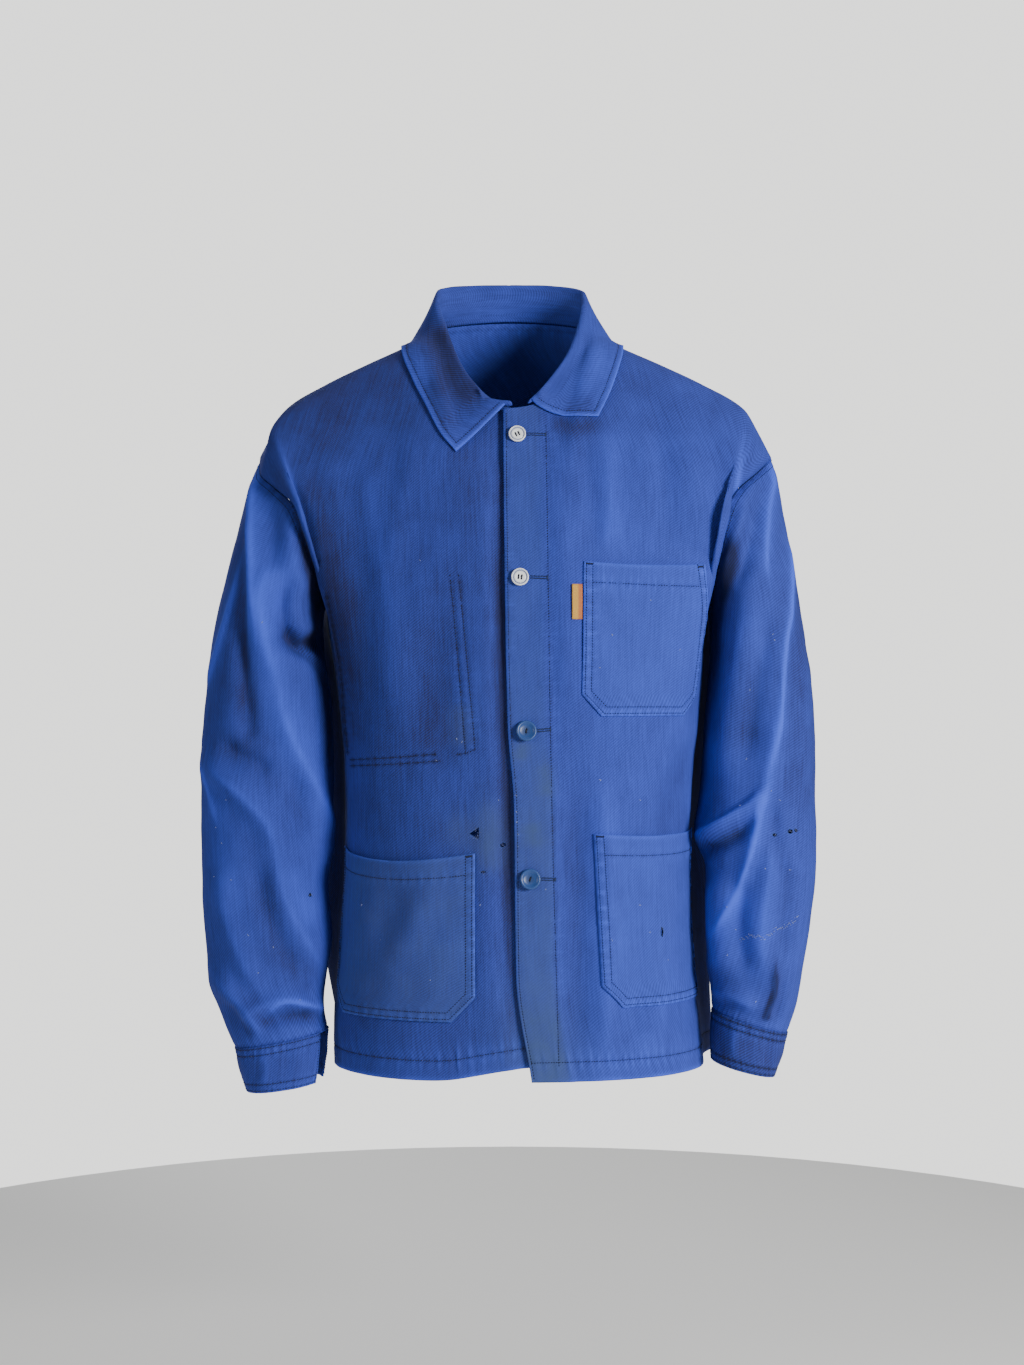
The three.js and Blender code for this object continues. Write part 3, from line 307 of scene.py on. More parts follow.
def body_points(side, column, row, face):
    """Points of a panel. column runs from centre to side, row from hem to shoulder."""
    column, row = np.broadcast_arrays(np.asarray(column, float), np.asarray(row, float))
    top_x, top_y, top_z = top_edge(side, column, face)
    hem = hem_at(side, column, face)
    z = mix(hem, top_z, row)
    seam_x, seam_y, seam_fold = seam_at(side, mix(HEM_Z, TIP_Z, row), face)
    drop = top_z - z
    rising = smooth((column - ARM_FOLD_FROM) / (ARM_FOLD_AT - ARM_FOLD_FROM))
    fold_rise = np.where(column < ARM_FOLD_AT, rising, smooth((1 - column) / (1 - ARM_FOLD_AT)))
    tip_x, _, _ = seam_at(side, np.array(float(TIP_Z)), face)
    across = mix(column, top_x / tip_x, smooth((row - 0.8) / 0.2))
    x = seam_x * across + seam_fold * fold_rise * (1 if face == "front" else 0.8)
    ring = np.clip(1 - np.clip(column, 0, 1) ** SQUARENESS, 0, 1) ** (1 / SQUARENESS)
    centre = curve(PROFILE, face, z) * (-1 if face == "front" else 1)
    swell = centre * ring + seam_y * column**ARMHOLE_NEARNESS
    reach = np.maximum(SHOULDER_ROUND * (1 - column**6), 1)
    over = np.sqrt(np.clip(1 - (1 - np.clip(drop / reach, 0, 1)) ** 2, 0, 1))
    y = mix(top_y, swell, over)
    if face == "back":
        near = drop / CREST_REACH
        crest = SHOULDER_CREST * near * np.exp(1 - near)
        z = z + crest * smooth((column - CREST_FROM) / 0.1) * smooth((1 - column) / 0.08)
        return np.stack([x * side, y, z], -1)
    lap = curve(LAP, "over" if side > 0 else "under", z)
    x = (x - lap * (1 - np.minimum(column / LAP_REACH, 1)) ** 2) * side
    if side > 0:
        from_edge = x + curve(LAP, "over", z)
        y = y - PLACKET_RAISE * (1 - smooth((from_edge - PLACKET_WIDTH + 4) / 8))
    else:
        to_edge = x + curve(LAP, "over", z)
        y = y + UNDERLAP_DIP * smooth((to_edge + 22) / 18)
        y = y + UNDERLAP_CURVE * np.maximum(to_edge, 0) ** 2
    return np.stack([x, y, z], -1)


SMOOTH_TOP = -6.0


def even_rows(side, column, share, face):
    """Row shares for a grid whose lines stay level below the yoke and reach the neck edge at 1."""
    column, share = np.broadcast_arrays(np.asarray(column, float), np.asarray(share, float))
    top = top_edge(side, column, face)[2]
    hem = hem_at(side, column, face)
    out = np.clip((column - NECK_SHARE) / (1 - NECK_SHARE), 0, 1)
    level = np.where(column <= NECK_SHARE, SMOOTH_TOP, mix(SMOOTH_TOP, top, smooth(out / 0.25)))
    reached = mix(level, top, smooth((share - 0.75) / 0.25))
    return np.clip(mix(hem, reached, share) - hem, 0, None) / (top - hem)


# %% [markdown]
# ## Sheets of cloth
# A sheet is a grid of points. It remembers how far each point is from its edges, measured along
# the cloth: that is the sheet's own flat pattern. The weave, the seams and the stitches all
# follow the pattern, so they bend with the folds.

# %% The sheet class
def spread_evenly(make_line, count):
    """Shares from 0 to 1 that cut the line made by make_line into equal lengths."""
    shares = np.linspace(0, 1, 1200)
    line = make_line(shares)
    walked = walk(line)
    return np.interp(np.linspace(0, walked[-1], count), walked, shares)


def spaced_rows(points, low=-250.0, high=-190.0):
    """The grid with its points spaced evenly along its high rows, where columns would crowd."""
    spaced = points.copy()
    for i, line in enumerate(points):
        walked = walk(line)
        share = float(smooth((line[: len(line) // 3, 2].mean() - low) / (high - low)))
        places = mix(walked, np.linspace(0, walked[-1], len(walked)), share)
        spaced[i] = at_lengths(line, walked, places)
    return spaced


def eased_neck(points, turns=40):
    """The grid relaxed round the neck point, where the form's two edges meet in a corner."""
    points = points.copy()
    near = smooth((points[..., 2] + 190) / 60) * smooth((115 - np.abs(points[..., 0])) / 30)
    near = near[1:-1, 1:-1, None] * 0.6
    for _ in range(turns):
        points[1:-1, 1:-1] = mix(points[1:-1, 1:-1], neighbours(points), near)
    return points


class Sheet:
    def __init__(self, name, points, closed=False, turn=1, hand=1):
        self.name = name
        self.points = points
        self.closed = closed
        self.turn = turn
        self.hand = hand
        # Colour marks: red is rubbed wear and painted highlight, green is greyed cloth, blue is
        # painted shade.
        self.wear_and_painted_light = np.zeros(points.shape[:2] + (4,))
        self.wear_and_painted_light[..., 3] = 1
        self.measure()

    def measure(self):
        step_across = np.linalg.norm(np.diff(self.points, axis=1), axis=2)
        step_up = np.linalg.norm(np.diff(self.points, axis=0), axis=2)
        self.across = np.pad(np.cumsum(step_across, axis=1), ((0, 0), (1, 0)))
        self.up = np.pad(np.cumsum(step_up, axis=0), ((1, 0), (0, 0)))
        self.down = self.up[-1:] - self.up
        self.back = self.across[:, -1:] - self.across

    def normals(self):
        across = np.gradient(self.points, axis=1)
        if self.closed:
            ends = self.points[:, 1] - self.points[:, -2]
            across[:, 0] = ends
            across[:, -1] = ends
        upward = np.gradient(self.points, axis=0)
        out = np.cross(across, upward) * self.turn
        return out / np.maximum(np.linalg.norm(out, axis=2, keepdims=True), 1e-9)

    def lift(self, heights):
        self.points = self.points + self.normals() * np.asarray(heights)[..., None]

    def size(self):
        return float(self.across[:, -1].max()), float(self.up.max())

    def area(self):
        across = np.diff(self.points, axis=1)[:-1]
        upward = np.diff(self.points, axis=0)[:, :-1]
        return float(np.linalg.norm(np.cross(across, upward), axis=2).sum())


# %% Turning a sheet into a Blender object
def sheet_piece(sheet, material, wall):
    """The sheet as a solid wall of cloth, with its pattern as UVs and its wear, painted highlight
    and painted shade as a colour.
    """
    rows, columns = sheet.points.shape[:2]
    bm = bmesh.new()
    bmesh.ops.create_grid(bm, x_segments=columns - 1, y_segments=rows - 1, size=1)
    mesh = mesh_from(bm, sheet.name)
    flat = np.empty(len(mesh.vertices) * 3)
    mesh.vertices.foreach_get("co", flat)
    flat = flat.reshape(-1, 3)
    c = np.rint((flat[:, 0] + 1) / 2 * (columns - 1)).astype(int)
    r = np.rint((flat[:, 1] + 1) / 2 * (rows - 1)).astype(int)
    mesh.vertices.foreach_set("co", (sheet.points[r, c] * MM).ravel())
    corners = np.empty(len(mesh.loops), int)
    mesh.loops.foreach_get("vertex_index", corners)
    pattern = np.stack([sheet.across * sheet.hand, sheet.up], -1)[r, c] * MM
    mesh.uv_layers.new(name="pattern").data.foreach_set("uv", pattern[corners].ravel())
    wear_and_painted_light = mesh.color_attributes.new("wear_and_painted_light", "FLOAT_COLOR", "POINT")
    wear_and_painted_light.data.foreach_set("color", np.clip(sheet.wear_and_painted_light, 0, 1)[r, c].ravel())
    if sheet.turn < 0:
        mesh.flip_normals()
    if sheet.closed:
        bm = bmesh.new()
        bm.from_mesh(mesh)
        bmesh.ops.remove_doubles(bm, verts=bm.verts, dist=0.02 * MM)
        bm.to_mesh(mesh)
        bm.free()
    mesh.shade_smooth()
    mesh.materials.append(material)
    piece = link_piece(sheet.name, mesh)
    shell = piece.modifiers.new("wall", "SOLIDIFY")
    shell.thickness = wall * MM
    shell.offset = -1
    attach(piece, "root")
    return piece


def dress(sheet, node, material, wall=WALL):
    """The sheet as an object that is shown instead of one of the plain model's solids."""
    piece = sheet_piece(sheet, material, wall)
    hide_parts(node)
    print(sheet.name, "cut", [round(v) for v in sheet.size()])
    return piece


# %% [markdown]
# ## Creases
# Worn cloth keeps its creases where the arm bends and where a pocket pulls. Each is written as a
# path over the picture with a width and a height in millimetres. A ridge is soft, a crease is
# sharp and rubbed pale, and a lip is a fold that hangs over its own shadow.
# Beside the folds, the tables hold painted marks: dark rows are painted shade, pale rows are painted
# highlight with some rubbed wear, grey rows are greyed cloth.

# %% Distance from a path
def rounded_path(path, steps=5):
    """More points along a path, on a smooth curve through the given ones."""
    p = np.array(path, float)
    p = np.vstack([2 * p[0] - p[1], p, 2 * p[-1] - p[-2]])
    t = np.linspace(0, 1, steps, endpoint=False)[:, None]
    made = []
    for a, b, c, d in zip(p[:-3], p[1:-2], p[2:-1], p[3:]):
        curved = (2 * a - 5 * b + 4 * c - d) * t**2 + (3 * b - a - 3 * c + d) * t**3
        made.append(0.5 * (2 * b + (c - a) * t + curved))
    return np.vstack(made + [p[-2:-1]])


def near_path(places, path):
    """Signed distance from a path, and how far along it the nearest point is, from 0 to 1."""
    line = rounded_path(path)
    best = np.full(places.shape[:-1], 1e9)
    side = np.zeros_like(best)
    share = np.zeros_like(best)
    pieces = len(line) - 1
    for i in range(pieces):
        start, step = line[i], line[i + 1] - line[i]
        off = places - start
        run = np.clip((off @ step) / max(step @ step, 1e-9), 0, 1)
        miss = off - run[..., None] * step
        distance = np.hypot(miss[..., 0], miss[..., 1])
        nearer = distance < best
        best = np.where(nearer, distance, best)
        side = np.where(nearer, np.sign(step[0] * off[..., 1] - step[1] * off[..., 0]), side)
        share = np.where(nearer, (i + run) / pieces, share)
    return best * np.where(side < 0, -1, 1), share


def picture_places(points):
    """Pixel of the photograph that each point falls on."""
    depth = points[..., 1] - EYE[1]
    u = PICTURE_WIDTH / 2 + FOCAL_PIXELS * points[..., 0] / depth
    v = PICTURE_HEIGHT / 2 - FOCAL_PIXELS * (points[..., 2] - EYE[2]) / depth
    return np.stack([u, v], -1)


MM_PER_PIXEL = 0.965
# Paint kinds: pale is painted highlight with some rubbed wear, grey is greyed cloth, dark is painted
# shade.
PAINTS = {"pale": 0, "grey": 1, "dark": 2}


def fold_relief(sheet, folds, view="front"):
    """Height of all folds, with rubbed wear, painted highlight and painted shade marked on the
    sheet.
    """
    facing = sheet.normals()[..., 1] * (-1 if view == "front" else 1)
    weight = smooth((facing + 0.05) / 0.35)
    if view == "front":
        places = picture_places(sheet.points) * MM_PER_PIXEL
    else:
        places = sheet.points[..., [0, 2]]
    total = np.zeros(weight.shape)
    for kind, width, height, rubbed, path in folds:
        path = np.array(path, float) * (MM_PER_PIXEL if view == "front" else 1)
        distance, share = near_path(places, path)
        taper = smooth(share / 0.25) * smooth((1 - share) / 0.25) * 0.8 + 0.2
        # Paint rows add no height: pale lays painted highlight, grey greys the cloth, dark lays
        # painted shade.
        if kind in PAINTS:
            amount = height * np.exp(-((distance / width) ** 2) * 1.3)
            sheet.wear_and_painted_light[..., PAINTS[kind]] += amount * taper * weight
            continue
        if kind == "crease":
            shape = np.exp(-((np.abs(distance) / width) ** 1.15) * 1.5)
        elif kind == "lip":
            reach = np.where(distance > 0, width, width * 0.28)
            shape = np.exp(-((distance / reach) ** 2) * 1.4)
        else:
            shape = np.exp(-((distance / width) ** 2) * 1.6)
        total += height * shape * taper * weight
        if rubbed:
            narrow = np.exp(-((distance / min(width * 0.35, 3.2)) ** 2)) * 0.75
            broad = np.exp(-((distance / (width * 0.9)) ** 2)) * 0.35
            sheet.wear_and_painted_light[..., 0] += rubbed * (narrow + broad) * taper * weight
        elif height < -2.5:
            # Painted shade in deep valleys that are not rubbed.
            sheet.wear_and_painted_light[..., 2] += 0.22 * shape * taper * weight
    return total


# %% Small unevenness of cloth that has been washed and worn
def ripple(sheet, size, height, stretch, seed):
    """Wandering noise over the pattern. size is the width of a swell in millimetres."""
    u = sheet.across / size
    v = sheet.up / (size * stretch)
    if sheet.closed:
        whole = sheet.across[:, -1:]
        angle = 2 * np.pi * sheet.across / whole
        radius = whole / (2 * np.pi * size)
        places = np.stack([np.cos(angle) * radius, np.sin(angle) * radius, v + seed], -1)
    else:
        places = np.stack([u, v, np.full_like(u, seed)], -1)
    flat = places.reshape(-1, 3).tolist()
    values = np.array([noise.noise(place) for place in flat])
    return height * values.reshape(u.shape)


SEAM_FADE = 1.7
GROOVE_WIDTH = 2.0


def sewn_line(sheet, distance, along, pucker, wave, groove, band, worn, seed):
    """Groove, puckers and wear beside a row of stitches, with painted shade in the groove, from the
    distance to it.
    """
    wander = np.sin(2 * np.pi * along / wave + 2.2 * np.sin(along / 23 + seed) + seed)
    second = np.sin(2 * np.pi * along / (wave * 0.63) + 1.7 * np.sin(along / 31 + 2 * seed))
    fade = np.exp(-((distance / band) ** 2))
    patchy = 0.6 + 0.4 * np.sin(along / 41 + 3 * seed)
    height = pucker * fade * patchy * (0.7 * wander + 0.4 * second)
    furrow = np.exp(-((distance / GROOVE_WIDTH) ** 2))
    height -= groove * furrow
    lines = np.clip(wander * 0.6 + second * 0.5, 0, 1)
    sheet.wear_and_painted_light[..., 0] += SEAM_FADE * worn * fade * (0.1 + 0.9 * lines * patchy)
    # Painted shade along the groove.
    sheet.wear_and_painted_light[..., 2] += 0.5 * furrow * (0.6 + 0.4 * wander)
    return height


def edge_seam(sheet, edge, inset, style, seed):
    """A sewn line at a distance from one edge. style: pucker, wave, groove, band and worn."""
    away = {"bottom": sheet.up, "top": sheet.down, "left": sheet.across}[edge]
    along = sheet.up if edge == "left" else sheet.across
    return sewn_line(sheet, np.abs(away - inset), along, *style, seed)


# %% [markdown]
# ## The cloth's finish
# Twill is woven so that fine diagonal ribs run over it. The indigo-like blue lies on top of the
# yarn, so it rubs off where the cloth stands proud: ridges, seams and edges turn pale. Painted shade
# darkens hollows, seams' grooves and sides turned from the lamps, and painted highlight lightens lit
# fold edges. The sheet's colour marks say where: red is rubbed wear with painted highlight, green is
# greyed, blue is painted shade.
# The weave reads the flat pattern, so it turns with every piece.

# %% A finish whose nodes are added by short calls
class Finish:
    def __init__(self, name):
        self.material = bpy.data.materials.new(name)
        self.material.use_nodes = True
        self.shader = self.material.node_tree.nodes["Principled BSDF"]

    def fill(self, node, sockets):
        """Gives sockets of a node a value, or links them to another node's output."""
        for socket, value in sockets.items():
            if isinstance(value, (int, float, tuple)):
                node.inputs[socket].default_value = value
            elif value is not None:
                self.material.node_tree.links.new(value, node.inputs[socket])

    def node(self, kind, sockets=None, **options):
        node = self.material.node_tree.nodes.new("ShaderNode" + kind)
        for option, value in options.items():
            setattr(node, option, value)
        self.fill(node, sockets or {})
        return node

    def maths(self, operation, a, b, c=None, clamp=False):
        return self.node("Math", {0: a, 1: b, 2: c}, operation=operation, use_clamp=clamp).outputs[0]

    def add_scaled(self, value, factor, onto, clamp=False):
        return self.maths("MULTIPLY_ADD", value, factor, onto, clamp)

    def blend(self, share, a, b):
        return self.node("Mix", {0: share, 6: a, 7: b}, data_type="RGBA").outputs[2]

    def noise(self, vector, scale, detail=2.0, rough=0.5):
        sockets = {"Scale": scale, "Detail": detail, "Roughness": rough, "Vector": vector}
        return self.node("TexNoise", sockets).outputs[0]

    def turned(self, vector, angle, scale):
        sockets = {"Rotation": (0, 0, math.radians(angle)), "Scale": scale, "Vector": vector}
        return self.node("Mapping", sockets).outputs[0]

    def place(self):
        return self.node("TexCoord").outputs["Object"]

    def pattern(self):
        return self.node("UVMap", uv_map="pattern").outputs[0]

    def wear_and_painted_light(self):
        """The sheet's colour marks as three values: rubbed wear with painted highlight, greyed
        cloth, and painted shade.
        """
        marks = self.node("VertexColor", layer_name="wear_and_painted_light")
        return list(self.node("SeparateColor", {0: marks.outputs["Color"]}).outputs)[:3]

    def bump(self, height, distance, strength):
        sockets = {"Strength": strength, "Distance": distance * MM, "Height": height}
        self.fill(self.shader, {"Normal": self.node("Bump", sockets).outputs[0]})


# %% Blue twill
DEEP_BLUE = (0.018, 0.020, 0.080, 1)
FADED_BLUE = (0.056, 0.112, 0.740, 1)
# The darkest blue is painted shade, for deep folds, hollows and grooves.
PAINTED_SHADE_BLUE = (0.002, 0.005, 0.026, 1)
WORN_GREY = (0.050, 0.085, 0.200, 1)
TWILL_PITCH = 2.2
TWILL_ANGLE = 54.0
WAVE_PERIOD = 2 * math.pi / 20


def twill(name, base_fade=0.42, grey=0.0):
    made = Finish(name)
    pattern = made.pattern()
    place = made.place()
    # Red is rubbed wear and painted highlight, green is greyed cloth, blue is painted shade.
    rubbed, greyed, shaded = made.wear_and_painted_light()
    add = made.add_scaled

    ribs = made.node("TexWave", {
        "Scale": WAVE_PERIOD / (TWILL_PITCH * MM), "Distortion": 1.6,
        "Detail": 2.0, "Detail Scale": 0.35,
        "Vector": made.turned(pattern, TWILL_ANGLE, (1, 1, 1)),
    })
    rib = ribs.outputs["Fac"]
    broad = made.noise(place, 7.0, 3.0, 0.55)
    cloudy = made.noise(place, 38.0, 4.0, 0.6)
    streak = made.noise(made.turned(pattern, 0, (430, 22, 1)), 1.0, 3.0, 0.6)
    yarn = made.noise(made.turned(pattern, TWILL_ANGLE, (1500, 260, 1)), 1.0, 2.0)

    fade = add(broad, 0.26, base_fade - 0.13)
    fade = add(cloudy, 0.26, made.maths("SUBTRACT", fade, 0.13))
    fade = add(streak, 0.46, made.maths("SUBTRACT", fade, 0.23))
    # Rubbed wear and painted highlight pale the blue, and painted shade deepens it.
    fade = add(rubbed, 0.8, fade)
    fade = add(shaded, -0.45, fade)
    fade = add(made.maths("SUBTRACT", rib, 0.5), 0.24, fade)
    fade = add(made.maths("SUBTRACT", yarn, 0.5), 0.30, fade, clamp=True)
    blue = made.blend(fade, DEEP_BLUE, FADED_BLUE)
    greying = add(greyed, made.maths("ADD", cloudy, 0.25), grey, clamp=True)
    # Strong painted shade turns the blue nearly black.
    deep_painted_shade = add(shaded, 1.25, -0.62, clamp=True)
    colour = made.blend(deep_painted_shade, made.blend(greying, blue, WORN_GREY), PAINTED_SHADE_BLUE)
    made.bump(add(yarn, 0.6, rib), 0.16, 0.55)
    made.fill(made.shader, {
        "Base Color": colour, "Roughness": 0.88, "Specular IOR Level": 0.25,
        "Sheen Weight": 0.06, "Sheen Roughness": 0.4, "Sheen Tint": (0.30, 0.48, 1.0, 1),
    })
    return made.material


body_twill = twill("blue_twill")
pocket_twill = twill("blue_twill_pocket", base_fade=0.52, grey=0.06)


# %% Sewing thread
def plain_finish(name, colour, roughness, bump_height=0.0, bump_scale=400.0):
    made = Finish(name)
    grain = made.noise(made.place(), bump_scale, 3.0, 0.6)
    darker = tuple(value * 0.72 for value in colour[:3]) + (1,)
    made.fill(made.shader, {"Base Color": made.blend(grain, darker, colour), "Roughness": roughness})
    if bump_height:
        made.bump(grain, bump_height, 0.6)
    return made.material


thread_finish = plain_finish("navy_thread", (0.006, 0.013, 0.060, 1), 0.75, 0.05, 3000.0)

# %% [markdown]
# ## Stitches
# A row of stitches is hundreds of short threads. Each is a small ball pulled long with a matrix,
# which takes few faces. All threads of one seam share a mesh.

# %% Rows of stitches
STITCH_PITCH = 2.7
STITCH_LENGTH = 2.3
THREAD_RADIUS = 0.48


def small_ball():
    """Corners and faces of one small round ball, to be copied many times."""
    bm = bmesh.new()
    bmesh.ops.create_icosphere(bm, subdivisions=1, radius=1.0)
    corners = np.array([vertex.co[:] for vertex in bm.verts])
    faces = np.array([[vertex.index for vertex in face.verts] for face in bm.faces])
    bm.free()
    return corners, faces


BALL_CORNERS, BALL_FACES = small_ball()


class Sewing:
    def __init__(self, name):
        self.name = name
        self.placed = []

    def stitch(self, point, forward, out, length=STITCH_LENGTH, radius=THREAD_RADIUS, rise=0.1):
        forward = Vector(forward).normalized()
        out = Vector(out)
        out = (out - forward * out.dot(forward)).normalized()
        side = forward.cross(out)
        turn = np.array([forward * length / 2, side * radius, out * radius * 0.8])
        middle = np.array(Vector(point) + out * rise)
        self.placed.append((BALL_CORNERS @ turn + middle) * MM)

    def row(self, points, normals, pitch=STITCH_PITCH, start=0.0, stop=0.0, gaps=0.0, **look):
        points, normals = np.asarray(points, float), np.asarray(normals, float)
        walked = walk(points)
        places = np.arange(start + pitch / 2, walked[-1] - stop, pitch)
        for place in places:
            if gaps and random.random() < gaps:
                continue
            here, ahead, before = at_lengths(points, walked, [place, place + 0.8, place - 0.8])
            out = at_lengths(normals, walked, place)
            self.stitch(here, Vector(ahead) - Vector(before), out, **look)

    def finish(self, material=thread_finish):
        """One mesh of all the copies, each with the ball's own faces."""
        count = len(self.placed)
        firsts = np.arange(count)[:, None, None] * len(BALL_CORNERS)
        faces = (BALL_FACES[None] + firsts).reshape(-1, 3)
        mesh = bpy.data.meshes.new(self.name)
        mesh.from_pydata(np.concatenate(self.placed).tolist(), [], faces.tolist())
        mesh.shade_smooth()
        mesh.materials.append(material)
        piece = link_piece(self.name, mesh)
        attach(piece, "root")
        print(self.name, count, "threads")
        return piece


def edge_run(sheet, edge, inset):
    """Points and normals of a line that runs at a distance from one edge of a sheet."""
    measure = {
        "bottom": sheet.up, "top": sheet.down, "left": sheet.across, "right": sheet.back,
    }[edge]
    level = edge in ("bottom", "top")
    grids = [measure, sheet.points, sheet.normals()]
    if level:
        grids = [np.swapaxes(grid, 0, 1) for grid in grids]
    points, outs = [], []
    for away, grid, out in zip(*grids):
        order = np.argsort(away)
        points.append([np.interp(inset, away[order], grid[order, k]) for k in range(3)])
        outs.append([np.interp(inset, away[order], out[order, k]) for k in range(3)])
    return np.array(points), np.array(outs)


def tree_of(*sheets):
    """A search tree over the outer faces of some sheets, for placing what lies on them."""
    corners, faces = [], []
    for sheet in sheets:
        rows, columns = sheet.points.shape[:2]
        first = len(corners)
        corners.extend(sheet.points.reshape(-1, 3).tolist())
        ids = first + np.arange(rows * columns).reshape(rows, columns)
        around = [ids[:-1, :-1], ids[:-1, 1:], ids[1:, 1:], ids[1:, :-1]]
        quads = np.stack(around, -1).reshape(-1, 4)
        if sheet.turn < 0:
            quads = quads[:, ::-1]
        faces.extend(quads.tolist())
    return BVHTree.FromPolygons(corners, faces)


def picture_run(tree, path, steps=8):
    """Points and normals where a path over the picture falls on the cloth."""
    points, outs = [], []
    for u, v in rounded_path(path, steps):
        across, down = u - PICTURE_WIDTH / 2, v - PICTURE_HEIGHT / 2
        aim = Vector((across / FOCAL_PIXELS, 1, -down / FOCAL_PIXELS))
        hit, out, _, _ = tree.ray_cast(Vector(EYE), aim.normalized())
        if hit is not None:
            points.append(hit[:])
            outs.append((out if out.dot(aim) < 0 else -out)[:])
    return np.array(points), np.array(outs)


# %% [markdown]
# ## Fronts and back
# A front is one panel with its edge turned in as a facing, sewn down beside the buttons. Here each
# panel is a grid whose lines are spread evenly over the form. The hem, the facing and the pocket
# seen from outside are all rows of stitches, which pull the cloth into small puckers.

# %% Fold paths on the fronts, over the picture: kind, width, height, rubbed, path
# Dark rows are painted shade: the sides turned from the lamp, the cast shadows of the placket and
# the collar, and fold hollows. Pale rows are painted highlight on lit fold edges and ridges, partly
# rubbed wear. Grey rows are greyed cloth.
FRONT_FOLDS = fold_rows("""
valley 17 -4.5 0  578,780 577,860 579,960 577,1065
ridge 15 4 0.12  603,760 606,860 607,1000 606,1068
ridge 22 4 0  560,470 566,600 572,720
valley 12 -2 0  585,420 590,490 592,550
ridge 10 1.8 0.1  607,430 610,500 606,556
valley 16 -2.4 0  655,400 662,470 670,550
ridge 20 3 0  686,420 700,520 716,640
valley 30 -3.5 0  440,600 432,690 446,790
ridge 26 3 0.08  378,520 392,640 400,740
ridge 18 3.2 0.12  436,872 414,925 392,968
valley 18 -2.4 0  396,880 380,930 352,990
ridge 16 2.4 0  486,780 484,900 488,1040
ridge 13 2.6 0.1  300,470 318,540 330,620
valley 15 -2.6 0  690,730 676,790 664,850
ridge 17 3 0.1  700,700 688,780 690,900
valley 12 -2.5 0  650,900 640,960 634,1060
ridge 12 2.2 0.06  676,880 664,960 662,1050
ridge 16 2 0  420,430 400,500 392,580
valley 20 -2 0  350,430 352,520 372,640
pale 3 0.5 0  279,443 292,484 306,535 323,611 334,688
pale 3 0.6 0  744,436 737,488 727,543 716,608 708,700
dark 24 0.4 0  300,440 318,520 334,600 344,700 350,800
grey 14 0.5 0  486,790 492,840 488,880
grey 9 0.5 0  522,740 520,762
grey 10 0.5 0  545,760 546,800
grey 12 0.5 0  530,820 536,850
grey 20 0.4 0  440,822 470,835 500,850
grey 14 0.4 0  458,700 462,752
dark 26 0.2 0  352,410 330,430 306,450
dark 7 0.55 0  500,425 500,560 502,700 506,800 508,930 514,1060
dark 16 0.2 0  468,440 462,470 478,560
dark 12 0.5 0  610,425 575,428 548,418
dark 30 0.14 0  420,650 410,760 400,840
dark 14 0.15 0  574,800 576,900 578,1050
pale 16 0.16 0  608,430 612,500 618,556
pale 18 0.14 0  600,760 606,900 604,1060
pale 12 0.16 0  640,1030 650,1060
pale 14 0.12 0  372,470 384,560 398,640
""")
INNER_POCKET_SEAMS = {
    "side_outer": spots("450,574 458,660 465.6,752"),
    "side_inner": spots("458.6,574 467,660 475.4,749.5"),
    "edge": spots("326,591 335,639 342,686 348,756"),
    "bottom_upper": spots("349,760 394,757.5 437.5,754"),
    "bottom_lower": spots("349,766 396,764 440,761"),
    "corner": spots("456,755 466,753 475,749.5"),
}
FACING_SEAM = spots("546,425 548,560 550,700 553,850 556,960 559,1066")
HEM_FOLD = 19.0
FRONT_EDGE_ROW = 2.8
FRONT_COLUMNS = 116
FRONT_ROWS = 300


# %% Making the front panels
def picture_seam(sheet, path, style, seed):
    """A sewn line along a path over the picture."""
    places = picture_places(sheet.points) * MM_PER_PIXEL
    distance, share = near_path(places, np.array(path, float) * MM_PER_PIXEL)
    line = rounded_path(path) * MM_PER_PIXEL
    length = float(np.linalg.norm(np.diff(line, axis=0), axis=1).sum())
    ends = smooth(share / 0.02) * smooth((1 - share) / 0.02)
    away = np.where(ends > 0.5, np.abs(distance), 60.0)
    return sewn_line(sheet, away, share * length, *style, seed)


